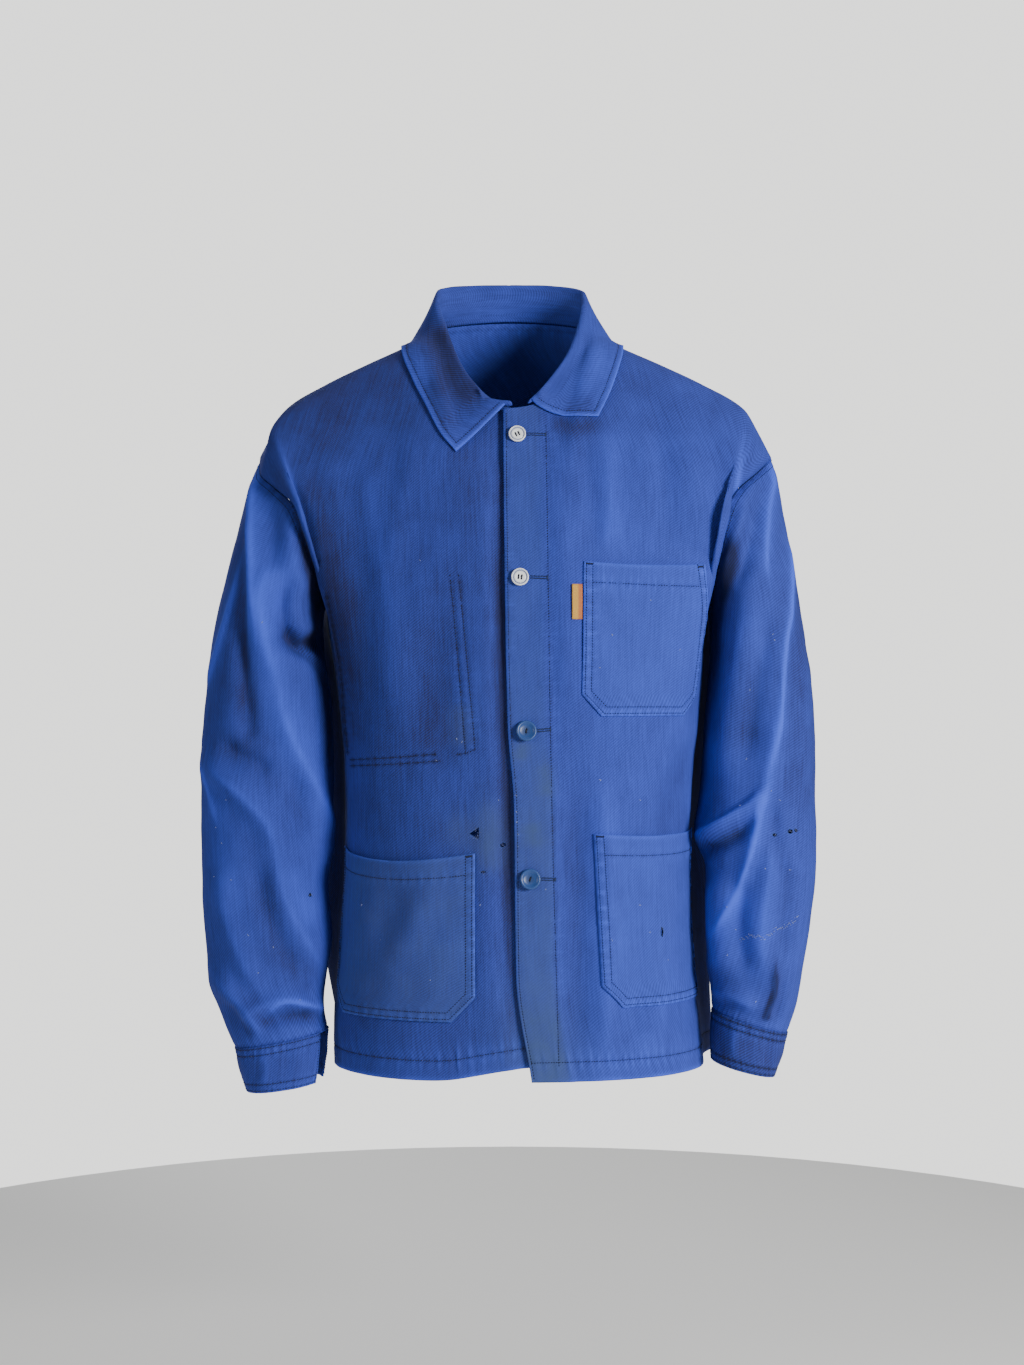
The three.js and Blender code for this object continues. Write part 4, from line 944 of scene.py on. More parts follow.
def front_sheet(side):
    columns = spread_evenly(lambda t: body_points(side, t, 0.4, "front"), FRONT_COLUMNS)
    rows = spread_evenly(lambda t: body_points(side, 0.6, t, "front"), FRONT_ROWS)
    shares = even_rows(side, columns[None, :], rows[:, None], "front")
    points = body_points(side, columns[None, :], shares, "front")
    name = HANDS[side] + "_front_cloth"
    sheet = Sheet(name, eased_neck(spaced_rows(points)), turn=side, hand=side)
    sheet.columns, sheet.rows = columns, rows
    edges = smooth(sheet.back / 30) * smooth(sheet.down / 45)
    sheet.lift(fold_relief(sheet, FRONT_FOLDS) * edges)
    height = ripple(sheet, 62, 1.6, 1.6, side) * edges
    height += ripple(sheet, 21, 0.5, 1.3, 3 + side) * edges
    height += edge_seam(sheet, "bottom", HEM_FOLD, (0.75, 9.5, 0.5, 11, 0.30), 1.0 + side)
    height += edge_seam(sheet, "left", FRONT_EDGE_ROW, (0.30, 7.5, 0.35, 6, 0.22), 2.0 + side)
    if side > 0:
        height += picture_seam(sheet, FACING_SEAM, (0.34, 11, 0.4, 8, 0.12), 5)
        height += smooth((PLACKET_WIDTH + 1 - sheet.across) / 1.6) * 0.5
        band = smooth((PLACKET_WIDTH - sheet.across) / 10)
        low = smooth((430 - sheet.up) / 260)
        sheet.wear_and_painted_light[..., 1] += 0.55 * band * (0.45 + 0.55 * low)
    else:
        for key, path in INNER_POCKET_SEAMS.items():
            height += picture_seam(sheet, path, (0.35, 8, 0.45, 5.5, 0.16), len(key))
    # Painted shade over the whole right front, which turns from the lamp, and on both fronts towards
    # the shoulders.
    if side < 0:
        sheet.wear_and_painted_light[..., 2] += 0.24
    sheet.wear_and_painted_light[..., 2] += 0.25 * smooth((sheet.points[..., 2] + 130) / 60)
    rim = np.exp(-sheet.up / 2.2) + np.exp(-sheet.across / 1.5)
    sheet.wear_and_painted_light[..., 0] += 0.7 * rim * (0.6 + 0.6 * np.sin(sheet.across / 17 + sheet.up / 23) ** 2)
    corner = np.exp(-(((sheet.across - 10) / 40) ** 2) - ((sheet.up - 20) / 60) ** 2)
    sheet.wear_and_painted_light[..., 1] += 0.5 * corner
    sheet.lift(height)
    sheet.measure()
    return sheet


right_front = front_sheet(-1)
left_front = front_sheet(1)
print("front folds", len(FRONT_FOLDS))

# %% The back: x and z paths in millimetres
BACK_FOLDS = fold_rows("""
ridge 34 6 0  -122,-190 -108,-420 -98,-700
ridge 34 6 0  118,-190 106,-430 98,-700
valley 30 -6 0  -35,-300 -30,-520 -38,-735
valley 30 -6 0  48,-330 40,-540 46,-735
ridge 20 3 0.1  -4,-120 2,-300 6,-500
ridge 14 3.5 0.15  -205,-210 -160,-300 -140,-430
ridge 14 3.5 0.15  208,-215 166,-310 142,-440
valley 13 -3.5 0  -182,-200 -140,-280 -118,-380
valley 13 -3.5 0  184,-205 144,-290 120,-390
ridge 12 2.5 0.1  -60,-110 -30,-128 20,-122 62,-108
valley 10 -2.2 0  -70,-92 -30,-108 30,-106 72,-90
""")
BACK_COLUMNS = 88
BACK_ROWS = 216


SIDE_SPREAD = {
    -1: spots("-770,8 -700,20 -650,33 -600,41 -550,41 -500,36 -400,35 -350,33 -300,24 -245,0"),
    1: spots("-770,32 -700,34 -600,43 -550,44 -500,38 -400,36 -350,32 -300,22 -245,0"),
}
SPREAD_MIDDLE, SPREAD_REACH = 74.0, 33.0


def spread_sides(points):
    """The back with its sides fallen outward behind the arms, where they close the view."""
    points = points.copy()
    for side, levels in SIDE_SPREAD.items():
        heights, amounts = zip(*levels)
        amount = np.interp(points[..., 2], heights, amounts)
        near = np.exp(-(((points[..., 1] - SPREAD_MIDDLE) / SPREAD_REACH) ** 2))
        own = smooth((points[..., 0] * side - 90) / 50)
        points[..., 0] += side * amount * near * own
    return points


def back_sheet():
    columns = spread_evenly(lambda t: body_points(1, t, 0.4, "back"), BACK_COLUMNS)
    rows = spread_evenly(lambda t: body_points(1, 0.6, t, "back"), BACK_ROWS)
    shares = even_rows(1, columns[None, :], rows[:, None], "back")
    right = body_points(-1, columns[None, ::-1], shares[:, ::-1], "back")
    left = body_points(1, columns[None, 1:], shares[:, 1:], "back")
    points = np.concatenate([spaced_rows(right[:, ::-1])[:, ::-1], spaced_rows(left)], axis=1)
    points = spread_sides(eased_neck(points))
    sheet = Sheet("back_cloth", points, turn=-1, hand=-1)
    x, y, z = np.moveaxis(sheet.points, -1, 0)
    # Painted shade on the sides under the arms, in the gap between arm and body.
    under_arm = np.exp(-(((y - 40) / 40) ** 2)) * smooth((-250 - z) / 60)
    sheet.wear_and_painted_light[..., 2] += 0.8 * under_arm * smooth((np.abs(x) - 140) / 25)
    edges = smooth(sheet.back / 30) * smooth(sheet.across / 30) * smooth(sheet.down / 50)
    sheet.lift(fold_relief(sheet, BACK_FOLDS, view="back") * edges)
    height = ripple(sheet, 70, 2.0, 1.6, 8) * edges
    height += ripple(sheet, 24, 0.6, 1.3, 9) * edges
    height += edge_seam(sheet, "bottom", HEM_FOLD, (0.7, 9.5, 0.5, 11, 0.28), 4.0)
    height += edge_seam(sheet, "top", 5, (0.3, 8.0, 0.35, 6, 0.25), 6.0)
    sheet.wear_and_painted_light[..., 0] += 0.4 * np.exp(-sheet.up / 2.2)
    sheet.lift(height)
    sheet.measure()
    return sheet


back = back_sheet()
print("back folds", len(BACK_FOLDS))

# %% The three panels as objects
for sheet, node in ((right_front, "front_right"), (left_front, "front_left"), (back, "back")):
    dress(sheet, node, body_twill)

# %% [markdown]
# ## Sleeves
# A sleeve is a tube set into the armhole. Its first ring follows the armhole's seam, and further
# down the rings become ovals read from a table. The elbow and the wrist keep deep folds.

# %% Sleeve tables and rings
SLEEVE_COLUMNS = "z lift outer inner y depth"
SLEEVE_RIGHT = table(
    SLEEVE_COLUMNS, (-206, 74, 256, 188, -3, 72), (-225, 62, 266, 191.5, -4, 73),
    (-260, 45, 281.5, 194.5, -6, 73), (-307, 27, 295.8, 190.5, -8, 71),
    (-362, 12, 306, 184, -8, 68), (-420, 5, 311, 180.5, -9, 65), (-480, 0, 313, 180, -13, 61),
    (-520, -4, 312.5, 177.6, -18, 58), (-565, -4, 310.5, 185, -24, 54),
    (-618, 0, 306.5, 180.5, -30, 51), (-656, -1, 302.5, 186.5, -33, 48),
    (-682, -3, 292, 189, -35, 45), (-715, -9, 276, 184.5, -36, 42),
)
SLEEVE_LEFT = table(
    SLEEVE_COLUMNS, (-206, 74, 264, 197, -3, 72), (-225, 62, 271, 200, -4, 73),
    (-260, 45, 281, 202, -6, 73), (-307, 27, 291, 201, -8, 71), (-362, 12, 299.5, 198, -8, 68),
    (-420, 5, 303.5, 193.5, -10, 65), (-480, 0, 305, 188.5, -16, 61),
    (-517, -4, 304, 183, -26, 58), (-550, -3, 303, 194, -30, 54), (-600, 0, 297.5, 195, -34, 51),
    (-640, -2, 290.5, 195, -36, 48), (-668, -6, 285, 198, -37, 45),
    (-698, -11, 274, 200.5, -38, 41),
)
ARMHOLE_ROWS = [ARMPIT_SHARE, 0.78, 0.815, 0.858, 0.898, 0.932, 0.96, 0.98, 0.993, 1.0]
RINGNESS = 2.2


def oval(side, section, angle):
    power = 2 / RINGNESS
    c = np.sign(np.cos(angle)) * np.abs(np.cos(angle)) ** power
    s = np.sign(np.sin(angle)) * np.abs(np.sin(angle)) ** power
    middle = (section["outer"] + section["inner"]) / 2
    half = (section["outer"] - section["inner"]) / 2
    y = section["y"] - section["depth"] * s
    return np.stack([side * (middle + half * c), y, section["z"] + section["lift"] * c], -1)


def armhole_loop(side, turns):
    """Points round the armhole, from the shoulder tip down the front and up the back."""
    steps = len(ARMHOLE_ROWS) - 1
    at = turns * 2 * steps
    row = np.interp(np.abs(at - steps), range(steps + 1), ARMHOLE_ROWS)
    front = body_points(side, 1.0, row, "front")
    behind = body_points(side, 1.0, row, "back")
    return np.where((turns <= 0.5)[:, None], front, behind)


def sleeve_points(side, columns, rows):
    rings = SLEEVE_RIGHT if side < 0 else SLEEVE_LEFT
    turns = np.linspace(0, 1, columns)
    loop = armhole_loop(side, turns)
    walked = walk(loop)
    half = np.interp(0.5, turns, walked)
    behind = np.pi + np.pi * (walked - half) / (walked[-1] - half)
    arc = np.where(turns <= 0.5, np.pi * walked / half, behind)
    points = []
    for share in np.linspace(0, 1, rows):
        z = mix(rings[0]["z"], rings[-1]["z"], share)
        columns = SLEEVE_COLUMNS.split()[1:]
        section = {name: float(curve(rings, name, z)) for name in columns}
        section["z"] = z
        angle = mix(arc, 2 * np.pi * turns, smooth(share / 0.5))
        taken = 1 - (1 - min(share / 0.28, 1)) ** 2
        points.append(mix(loop, oval(side, section, angle), taken))
    return np.array(points)


# %% Sleeve folds over the picture, and on the back in millimetres
# Dark rows are painted shade in the hollows, in the gap between sleeve and body and on the sides
# turned from the lamp. Pale rows are painted highlight on lit planes and ridges.
SLEEVE_FOLDS = {}
SLEEVE_FOLDS[-1] = fold_rows("""
lip 17 4.5 0.3  252,700 250,650 253,600 253,540 254,500 258,478
crease 5 2 0.85  244,553 229,608 214,662 207,690
valley 12 -5.5 0  244,600 244,660 247,720 252,744
ridge 13 6 0.35  272,560 262,600 267,645 279,692
ridge 14 6.5 0.3  274,680 288,730 306,770 326,815 338,842
valley 11 -8 0  296,570 283,603 288,622 306,644 326,676
lip 13 6 0.12  330,690 318,656 300,632 284,618
ridge 15 7.5 0.35  208,742 218,772 240,792 268,826 279,868
valley 12 -6 0  219,738 234,754 256,764 272,776
crease 4 1.6 0.8  203,758 209,790 217,824
valley 13 -5 0  296,770 300,810 306,850
ridge 14 5.5 0.25  276,846 282,890 300,932 322,968
valley 13 -4.5 0  252,850 262,900 284,950 304,985
ridge 15 5 0.2  222,860 226,910 244,960 268,1004
ridge 12 5.5 0.3  209,968 234,996 252,1018 263,1042
valley 9 -4 0  224,1000 240,1022 248,1044
ridge 11 5.5 0.25  240,1020 262,1006 286,999 310,1005 328,1016
valley 8 -4.5 0  252,1032 284,1018 322,1022
valley 13 -4 0  276,500 270,540 272,575
ridge 12 3.5 0.15  290,520 294,560 306,600
valley 8 -3 0  307,1024 306,1000 312,978
crease 7 6.5 1  258,462 254,520 253,575 256,640
valley 11 -12 0  330,632 308,646 292,642 281,626
dark 13 0.55 0  244,495 242,560 242,620 243,690
dark 9 0.34 0  322,628 306,640 290,637 283,628
dark 12 1.2 0  292,500 306,545 318,590 326,640 334,700 338,770 338,840
dark 15 0.24 0  212,742 230,751 256,742
dark 16 0.25 0  247,640 248,690 250,730
dark 22 0.12 0  276,850 268,900 256,945
dark 28 0.25 0  250,955 290,965 322,985
dark 10 0.4 0  246,992 262,1014 268,1030
dark 9 0.4 0  276,1022 300,1014 324,1018
pale 20 0.3 0  272,510 280,560 272,600 262,630 274,690 296,750 320,796
pale 14 0.25 0  285,860 300,900 318,930
pale 12 0.25 0  216,770 222,850 226,900
crease 5 3 0.6  266,1016 284,1001 318,1008
crease 4 2 0.7  237,586 222,636 209,680
dark 30 0.2 0  268,640 276,740 280,860 262,960
""")
SLEEVE_FOLDS[1] = fold_rows("""
crease 6 2.6 0.6  768,455 773,480 770,509 766,551 769,585
valley 13 -8 0  762,480 756,520 745,558 731,590
ridge 14 5 0.2  746,500 734,540 722,575
crease 5 3 0.9  789,520 791,565 790,612 785,645 780,720 771,762
ridge 12 4.5 0.5  780,700 772,755 760,815 736,900
valley 14 -5 0  774,600 762,660 752,720 744,770
ridge 17 5.5 0.25  746,600 738,660 726,730 722,790
lip 15 8 0.3  690,838 709,829 730,817 751,802 762,788
valley 10 -8.5 0  692,856 714,846 738,832 760,812
ridge 16 6 0.25  722,866 714,905 716,945 726,990
valley 12 -5 0  742,870 738,920 744,980
ridge 14 5 0.25  776,830 768,880 762,940 768,985
valley 12 -4.5 0  790,860 786,910 784,960
valley 9 -5.5 0  706,1002 730,1012 762,1028
ridge 10 4.5 0.2  712,990 736,998 758,1008
crease 6 3.5 0.4  765,1030 767,1012 774,1000 773,978 771,955
valley 7 -3.5 0  776,1026 780,1002 784,975
ridge 12 3 0.2  752,434 750,450 748,470
ridge 12 4 0.15  802,640 806,720 804,800
valley 9 -3.5 0  770,790 778,850 786,880
dark 12 1.2 0  738,520 728,560 716,606 710,650 706,720
dark 26 0.27 0  747,600 742,680 736,770
dark 26 0.5 0  796,520 804,640 806,740 798,860
dark 11 0.45 0  698,852 722,840 750,822
crease 6 4.5 0.9  760,796 753,840 743,876 728,910 716,936
pale 18 0.36 0  744,880 750,930 746,965
dark 6 1.1 0  772,948 774,990 767,1012 766,1026
dark 8 1 0  704,860 704,920 708,980
dark 18 0.25 0  718,960 722,985 746,1004
pale 14 0.25 0  756,600 764,680 758,760
pale 10 0.16 0  700,846 726,826 752,806
pale 12 0.3 0  742,880 730,915 718,945
pale 12 0.12 0  760,500 752,540 742,572
dark 26 0.24 0  768,640 766,710 758,760
""")
SLEEVE_BACK_FOLDS = fold_rows("""
ridge 18 7 0.25  215,-300 242,-340 276,-392
valley 14 -6 0  208,-340 238,-372 262,-420
valley 15 -6 0  206,-425 242,-442 292,-472
ridge 14 6.5 0.3  202,-450 240,-470 296,-498
ridge 18 7 0.25  298,-490 262,-545 242,-625
valley 15 -6 0  268,-500 236,-560 222,-640
valley 13 -5 0  276,-645 240,-672 216,-700
ridge 12 5 0.2  262,-676 236,-690 212,-694
ridge 14 4 0.15  272,-240 282,-320 284,-410
""")
BACK_SEAM_AT = 0.73
SLEEVE_AROUND = 149
SLEEVE_ALONG = 200


def sleeve_sheet(side):
    points = sleeve_points(side, SLEEVE_AROUND, SLEEVE_ALONG)
    sheet = Sheet(HANDS[side] + "_sleeve_cloth", points, closed=True, turn=side, hand=-side)
    ends = smooth(sheet.down / 26) * smooth(sheet.up / 22)
    sheet.up, sheet.down = sheet.down, sheet.up
    mirrored = [(*fold[:4], [(x * side, z) for x, z in fold[4]]) for fold in SLEEVE_BACK_FOLDS]
    height = fold_relief(sheet, SLEEVE_FOLDS[side]) + fold_relief(sheet, mirrored, view="back")
    sheet.lift(height * ends)
    height = ripple(sheet, 48, 1.8, 1.4, 20 + side) * ends
    height += ripple(sheet, 19, 0.55, 1.2, 24 + side) * ends
    height += edge_seam(sheet, "top", 4, (0.4, 9.0, 0.5, 7, 0.25), 7.0 + side)
    height += edge_seam(sheet, "bottom", 2, (0.5, 7.0, 0.5, 8, 0.2), 9.0 + side)
    back_seam = BACK_SEAM_AT * sheet.across[:, -1:]
    height += edge_seam(sheet, "left", back_seam, (0.35, 8.0, 0.45, 6, 0.3), 11.0 + side)
    sheet.lift(height)
    return sheet


right_sleeve = sleeve_sheet(-1)
left_sleeve = sleeve_sheet(1)
dress(right_sleeve, "sleeve_right", body_twill)
dress(left_sleeve, "sleeve_left", body_twill)

# %% [markdown]
# ## Cuffs
# The cuffs are worn unbuttoned, so each is a band that stays open at the outer back of the wrist.
# A band is cut double and sewn down along both edges.

# %% Cuff bands
CUFF_COLUMNS = SLEEVE_COLUMNS + " start stop"
CUFFS = {
    -1: table(CUFF_COLUMNS, (-760.5, -5.5, 264, 190, -37, 41, 150, -172))[0],
    1: table(CUFF_COLUMNS, (-743, -8, 261, 199.5, -39, 39, 200, -128))[0],
}
CUFF_STAND_OUT = 1.2
CUFF_WALL = 2.0
DOUBLE_ROW = (2.0, 8.5)
CUFF_FOLDS = {}
CUFF_FOLDS[-1] = fold_rows("""
ridge 8 1.6 0.2  262,1048 266,1068 262,1088
valley 7 -1.2 0  284,1040 288,1062 284,1082
""")
CUFF_FOLDS[1] = fold_rows("""
ridge 8 1.6 0.2  738,1024 734,1044 736,1060
valley 6 -1.6 0  765,1030 768,1052 764,1072
""")


def cuff_sheet(side):
    rings = SLEEVE_RIGHT if side < 0 else SLEEVE_LEFT
    top, cuff = rings[-1], CUFFS[side]
    angles = np.radians(np.linspace(cuff["start"], cuff["stop"], 116))
    lines = []
    for share in np.linspace(0, 1, 30):
        section = {name: mix(top[name], cuff[name], share) for name in SLEEVE_COLUMNS.split()}
        section["z"] += 1.2 * (1 - share)
        bulge = CUFF_STAND_OUT + 0.9 * math.sin(math.pi * share)
        section["outer"] += bulge
        section["inner"] -= bulge
        section["depth"] += bulge
        lines.append(oval(side, section, angles))
    sheet = Sheet(HANDS[side] + "_cuff_cloth", np.array(lines), turn=-side, hand=side)
    sheet.up, sheet.down = sheet.down, sheet.up
    # Painted shade over the cuffs, more on the left one.
    sheet.wear_and_painted_light[..., 2] += 0.25 if side < 0 else 0.5
    height = fold_relief(sheet, CUFF_FOLDS[side])
    height += ripple(sheet, 16, 0.7, 1.0, 30 + side)
    for inset in DOUBLE_ROW:
        height += edge_seam(sheet, "top", inset, (0.35, 7.0, 0.4, 5, 0.25), inset)
        height += edge_seam(sheet, "bottom", inset, (0.4, 7.0, 0.4, 5, 0.3), inset + 1)
    sheet.wear_and_painted_light[..., 0] += 0.45 * np.exp(-sheet.up / 2.0) + 0.25 * np.exp(-sheet.across / 2.0)
    sheet.lift(height)
    return sheet


right_cuff = cuff_sheet(-1)
left_cuff = cuff_sheet(1)
dress(right_cuff, "cuff_right", body_twill, CUFF_WALL)
dress(left_cuff, "cuff_left", body_twill, CUFF_WALL)

# %% [markdown]
# ## Collar
# The collar stands up from the neck seam, rolls over a soft edge and falls outward as a leaf. Two
# tables say where the roll and the leaf's edge run in space. Every line across the collar is a
# curve through the seam, the roll and the edge, and is kept clear of the shoulders.

# %% Collar tables
COLLAR_COLUMNS = "neck rx ry rz ex ey ez"
COLLAR_RIGHT = table(
    COLLAR_COLUMNS, (0.02, -4, -78.5, -90, -54.7, -88.5, -136),
    (0.22, -24.6, -70, -80, -70, -81, -117), (0.42, -42, -58, -62, -85, -68, -87),
    (0.62, -57, -41, -37, -99, -50, -59), (0.82, -69, -20, -4, -107, -22, -36),
    (1, -77, 2, 24, -108, 8, -20), (1.25, -76, 28, 41, -97, 46, -14),
    (1.5, -57, 48, 49, -74, 72, -11), (1.75, -30, 59, 52, -39, 86, -8),
    (2, 0, 62, 53, 0, 90, -6),
)
COLLAR_LEFT = table(
    COLLAR_COLUMNS, (0.25, 19.5, -76, -84.5, 84.7, -75, -98.5),
    (0.36, 31, -66, -72, 91, -69, -86), (0.5, 44, -54, -55, 99, -59, -68),
    (0.68, 59, -37, -31, 105, -43, -50), (0.85, 69, -17, -4, 108.5, -20, -34),
    (1, 74.5, 2, 22, 108.5, 8, -20), (1.25, 74, 28, 39, 97, 46, -14),
    (1.5, 57, 48, 48, 74, 72, -11), (1.75, 30, 59, 52, 39, 86, -8), (2, 0, 62, 53, 0, 90, -6),
)
COLLAR_BEND = 4.0
COLLAR_WALL = 1.5
LEAST_STAND = 6.0
COLLAR_STATIONS = 76
COLLAR_SAG = 8.0
SAGGING_LINES = 14
COLLAR_ROW = 6.2
# Painted shade on the left leaf, which turns from the lamp, and under the leaves' edges. Painted
# highlight along lit edges.
COLLAR_SHADES = fold_rows("""
dark 28 0.8 0  434,310 444,350 458,382 486,410
dark 10 0.45 0  426,372 438,404 456,436
dark 10 0.3 0  560,404 580,408 596,400
pale 12 0.2 0  600,340 592,370 572,396
pale 9 0.2 0  415,350 428,384 450,428
""")
COLLAR_ACROSS = 50
body_tree = tree_of(right_front, left_front, back)


# %% Collar lines
def neck_point(side, share):
    face = "front" if share <= 1 else "back"
    column = NECK_SHARE * math.sin((share if share <= 1 else 2 - share) * math.pi / 2)
    x, y, z = top_edge(side, np.array(column), face)
    return np.array([side * float(x), float(y), float(z)]), column, face


def neck_frame(side, share):
    foot, _, _ = neck_point(side, share)
    _, column, face = neck_point(side, min(share, 1.999))
    tangent = neck_point(side, min(share + 0.02, 2))[0] - neck_point(side, max(share - 0.02, 0))[0]
    tangent /= np.linalg.norm(tangent)
    away = foot - body_points(side, column, 0.985, face)
    away -= tangent * (away @ tangent)
    away /= np.linalg.norm(away)
    normal = np.cross(tangent, away)
    if normal @ np.array([foot[0], foot[1], 40]) < 0:
        normal = -normal
    return foot, away, normal


def clear_of_body(point, clearance):
    point = np.array(point, float)
    for _ in range(3):
        near, out, _, _ = body_tree.find_nearest(Vector(point))
        gap = (Vector(point) - near).dot(out)
        if gap < clearance:
            point = point + np.array(out) * (clearance - gap)
    return point


def collar_line(side, neck, roll, edge):
    foot, away, normal = neck_frame(side, neck)
    if np.linalg.norm(roll - foot) < LEAST_STAND:
        roll = foot + away * LEAST_STAND + normal * 1.5
    outward = (edge - roll) * (1, 1, 0)
    if np.linalg.norm(outward) < 1:
        outward = np.array([side, 0.0, 0.0])
    outward = outward / np.linalg.norm(outward)
    height = np.linalg.norm(roll - foot)
    bend = min(COLLAR_BEND, height * 0.45)
    up = np.array([0.0, 0.0, 1.0])
    base = foot + away * 2.1 + normal * (0.1 - COLLAR_WALL)
    inside = roll - outward * bend - up * bend * 0.5
    lean = base + away * height * 0.4
    line = [base]
    for share in (0.5, 1):
        line.append(mix(mix(base, lean, share), mix(lean, inside, share), share))
    line.append(roll - outward * bend * 0.6 + up * bend * 0.45)
    line.append(clear_of_body(roll + up * bend * 0.8, COLLAR_WALL + 1.9))
    line.append(clear_of_body(roll + outward * bend * 0.8 + up * bend * 0.3, COLLAR_WALL + 2.4))
    start = line[-1]
    for share in (0.2, 0.4, 0.6, 0.8, 1):
        line.append(clear_of_body(mix(start, edge, share), COLLAR_WALL + 1.7))
    return rounded_path(line, 8)


def collar_side(side, rows):
    lines = []
    for neck in np.linspace(rows[0]["neck"], 2, COLLAR_STATIONS):
        roll = np.array([curve(rows, name, neck, "neck") for name in ("rx", "ry", "rz")])
        edge = np.array([curve(rows, name, neck, "neck") for name in ("ex", "ey", "ez")])
        line = collar_line(side, neck, roll, edge)
        walked = walk(line)
        even = np.linspace(0, walked[-1], COLLAR_ACROSS)
        lines.append(at_lengths(line, walked, even))
    return lines


def ease_off_body(grid, crown, turns=5):
    """Pushes the leaf clear of the body. The push is blurred, so the leaf stays smooth."""
    fallen = smooth((np.arange(COLLAR_ACROSS)[None, :] - crown[:, None] - 1) / 8)
    border = ((1, 1), (1, 1), (0, 0))
    for turn in range(turns):
        push = np.zeros(grid.shape)
        for i, j in zip(*np.nonzero(fallen > 0)):
            push[i, j] = (clear_of_body(grid[i, j], COLLAR_WALL + 1.5) - grid[i, j]) * fallen[i, j]
        for _ in range(8 - turn):
            push = mix(push, neighbours(np.pad(push, border, mode="edge")), 0.7)
        grid = grid + push * 1.2
        around = neighbours(np.pad(grid, border, mode="edge"))
        inner = fallen[..., None] * 0.5
        inner[[0, -1]] = 0
        inner[:, -1] = 0
        grid = mix(grid, around, inner)
    return grid


# %% The collar sheet
def collar_sheet():
    lines = collar_side(-1, COLLAR_RIGHT) + collar_side(1, COLLAR_LEFT)[:-1][::-1]
    grid = np.array(lines)
    crown = grid[..., 2].argmax(axis=1)
    grid = ease_off_body(grid, crown)
    for i in range(1, SAGGING_LINES):
        line = grid[-i]
        first = int(line[:, 2].argmax())
        share = np.clip((np.arange(len(line)) - first) / (len(line) - 1 - first), 0, 1)
        less = 1 - smooth(i / (SAGGING_LINES - 1))
        line[:, 2] -= COLLAR_SAG * np.sin(np.pi * share**0.8) * less
    grid = ease_off_body(grid, crown, 2)
    sheet = Sheet("collar_cloth", grid, turn=-1)
    past = np.arange(COLLAR_ACROSS)[None, :] - grid[..., 2].argmax(axis=1)[:, None]
    leaf = smooth(past / 6)
    ends = np.minimum(sheet.up, sheet.down)
    inset = np.minimum(sheet.back, np.where(past > 0, ends, 90))
    along = sheet.up + sheet.across
    height = ripple(sheet, 26, 0.5, 1.4, 40) * leaf
    height += sewn_line(sheet, np.abs(inset - COLLAR_ROW), along, 0.22, 8.5, 0.4, 6, 0.2, 3.3)
    sheet.wear_and_painted_light[..., 0] += 0.8 * np.exp(-inset / 1.8)
    # Painted shade and painted highlight on the leaves.
    fold_relief(sheet, COLLAR_SHADES)
    height -= 0.35 * np.exp(-inset / 1.4)
    sheet.lift(height)
    return sheet


collar = collar_sheet()
dress(collar, "collar", body_twill, COLLAR_WALL)

# %% [markdown]
# ## Pockets
# A patch pocket is a piece of cloth with its lower corners cut off, laid on the front and sewn
# down along three sides with two rows. Its mouth has a deep hem. The patch is measured out along
# the panel, so that it takes the panel's curve and folds.

# %% Pocket sizes
POCKETS = table(
    "name side out mouth width height cut slope lean sag lay",
    ("chest_pocket", 1, 68.4, -243.5, 136, 149, 21, -0.035, -0.015, 0, 0.9),
    ("lower_pocket_left", 1, 78, -505, 160, 168, 22, 0, 0.05, 4, 0.9),
    ("lower_pocket_right", -1, 35, -523, 176, 162, 24, 0, 0, 9, 1.2),
    ("inner_chest_pocket", -1, 44, -257, 140, 183, 6, 0.02, -0.08, 0, -4.0),
)
POCKET_WALL = 1.1
MOUTH_HEM = 20
POCKET_ACROSS = 74
POCKET_DOWN = 80


# %% Finding places on a front panel
def on_panel(sheet, columns, rows):
    """Points and normals of a front sheet at shares of its width and height."""
    def number_of(shares, own):
        return np.clip(np.interp(shares, own, np.arange(len(own))), 0, len(own) - 1.001)

    c, r = number_of(columns, sheet.columns), number_of(rows, sheet.rows)
    i, j = r.astype(int), c.astype(int)
    u, v = (c - j)[..., None], (r - i)[..., None]

    def blend(grid):
        low = mix(grid[i, j], grid[i, j + 1], u)
        high = mix(grid[i + 1, j], grid[i + 1, j + 1], u)
        return mix(low, high, v)

    out = blend(sheet.normals())
    return blend(sheet.points), out / np.linalg.norm(out, axis=-1, keepdims=True)


def panel_rows(side, columns, level):
    """Real row shares of a level line across a front, and the shares of the sheet's own rows."""
    hem = hem_at(side, columns, "front")
    top = top_edge(side, columns, "front")[2]
    real = (level - hem) / (top - hem)
    shares = np.linspace(0, 1, 60)
    grid = even_rows(side, columns[None, :], shares[:, None], "front")
    own = np.array([np.interp(r, grid[:, i], shares) for i, r in enumerate(real)])
    return real, own


def both_halves(left, width, bottom):
    """An outline from its left half and its lowest point, mirrored to the right half."""
    return left + [(width / 2, bottom)] + [(width - x, y) for x, y in reversed(left)]


def pocket_outline(pocket):
    w, h, cut = pocket["width"], pocket["height"], pocket["cut"]
    left = [(0, h), (0, h * 0.5), (0, cut * 1.15), (cut * 0.3, cut * 0.5), (cut, 0)]
    return both_halves(left, w, 0)


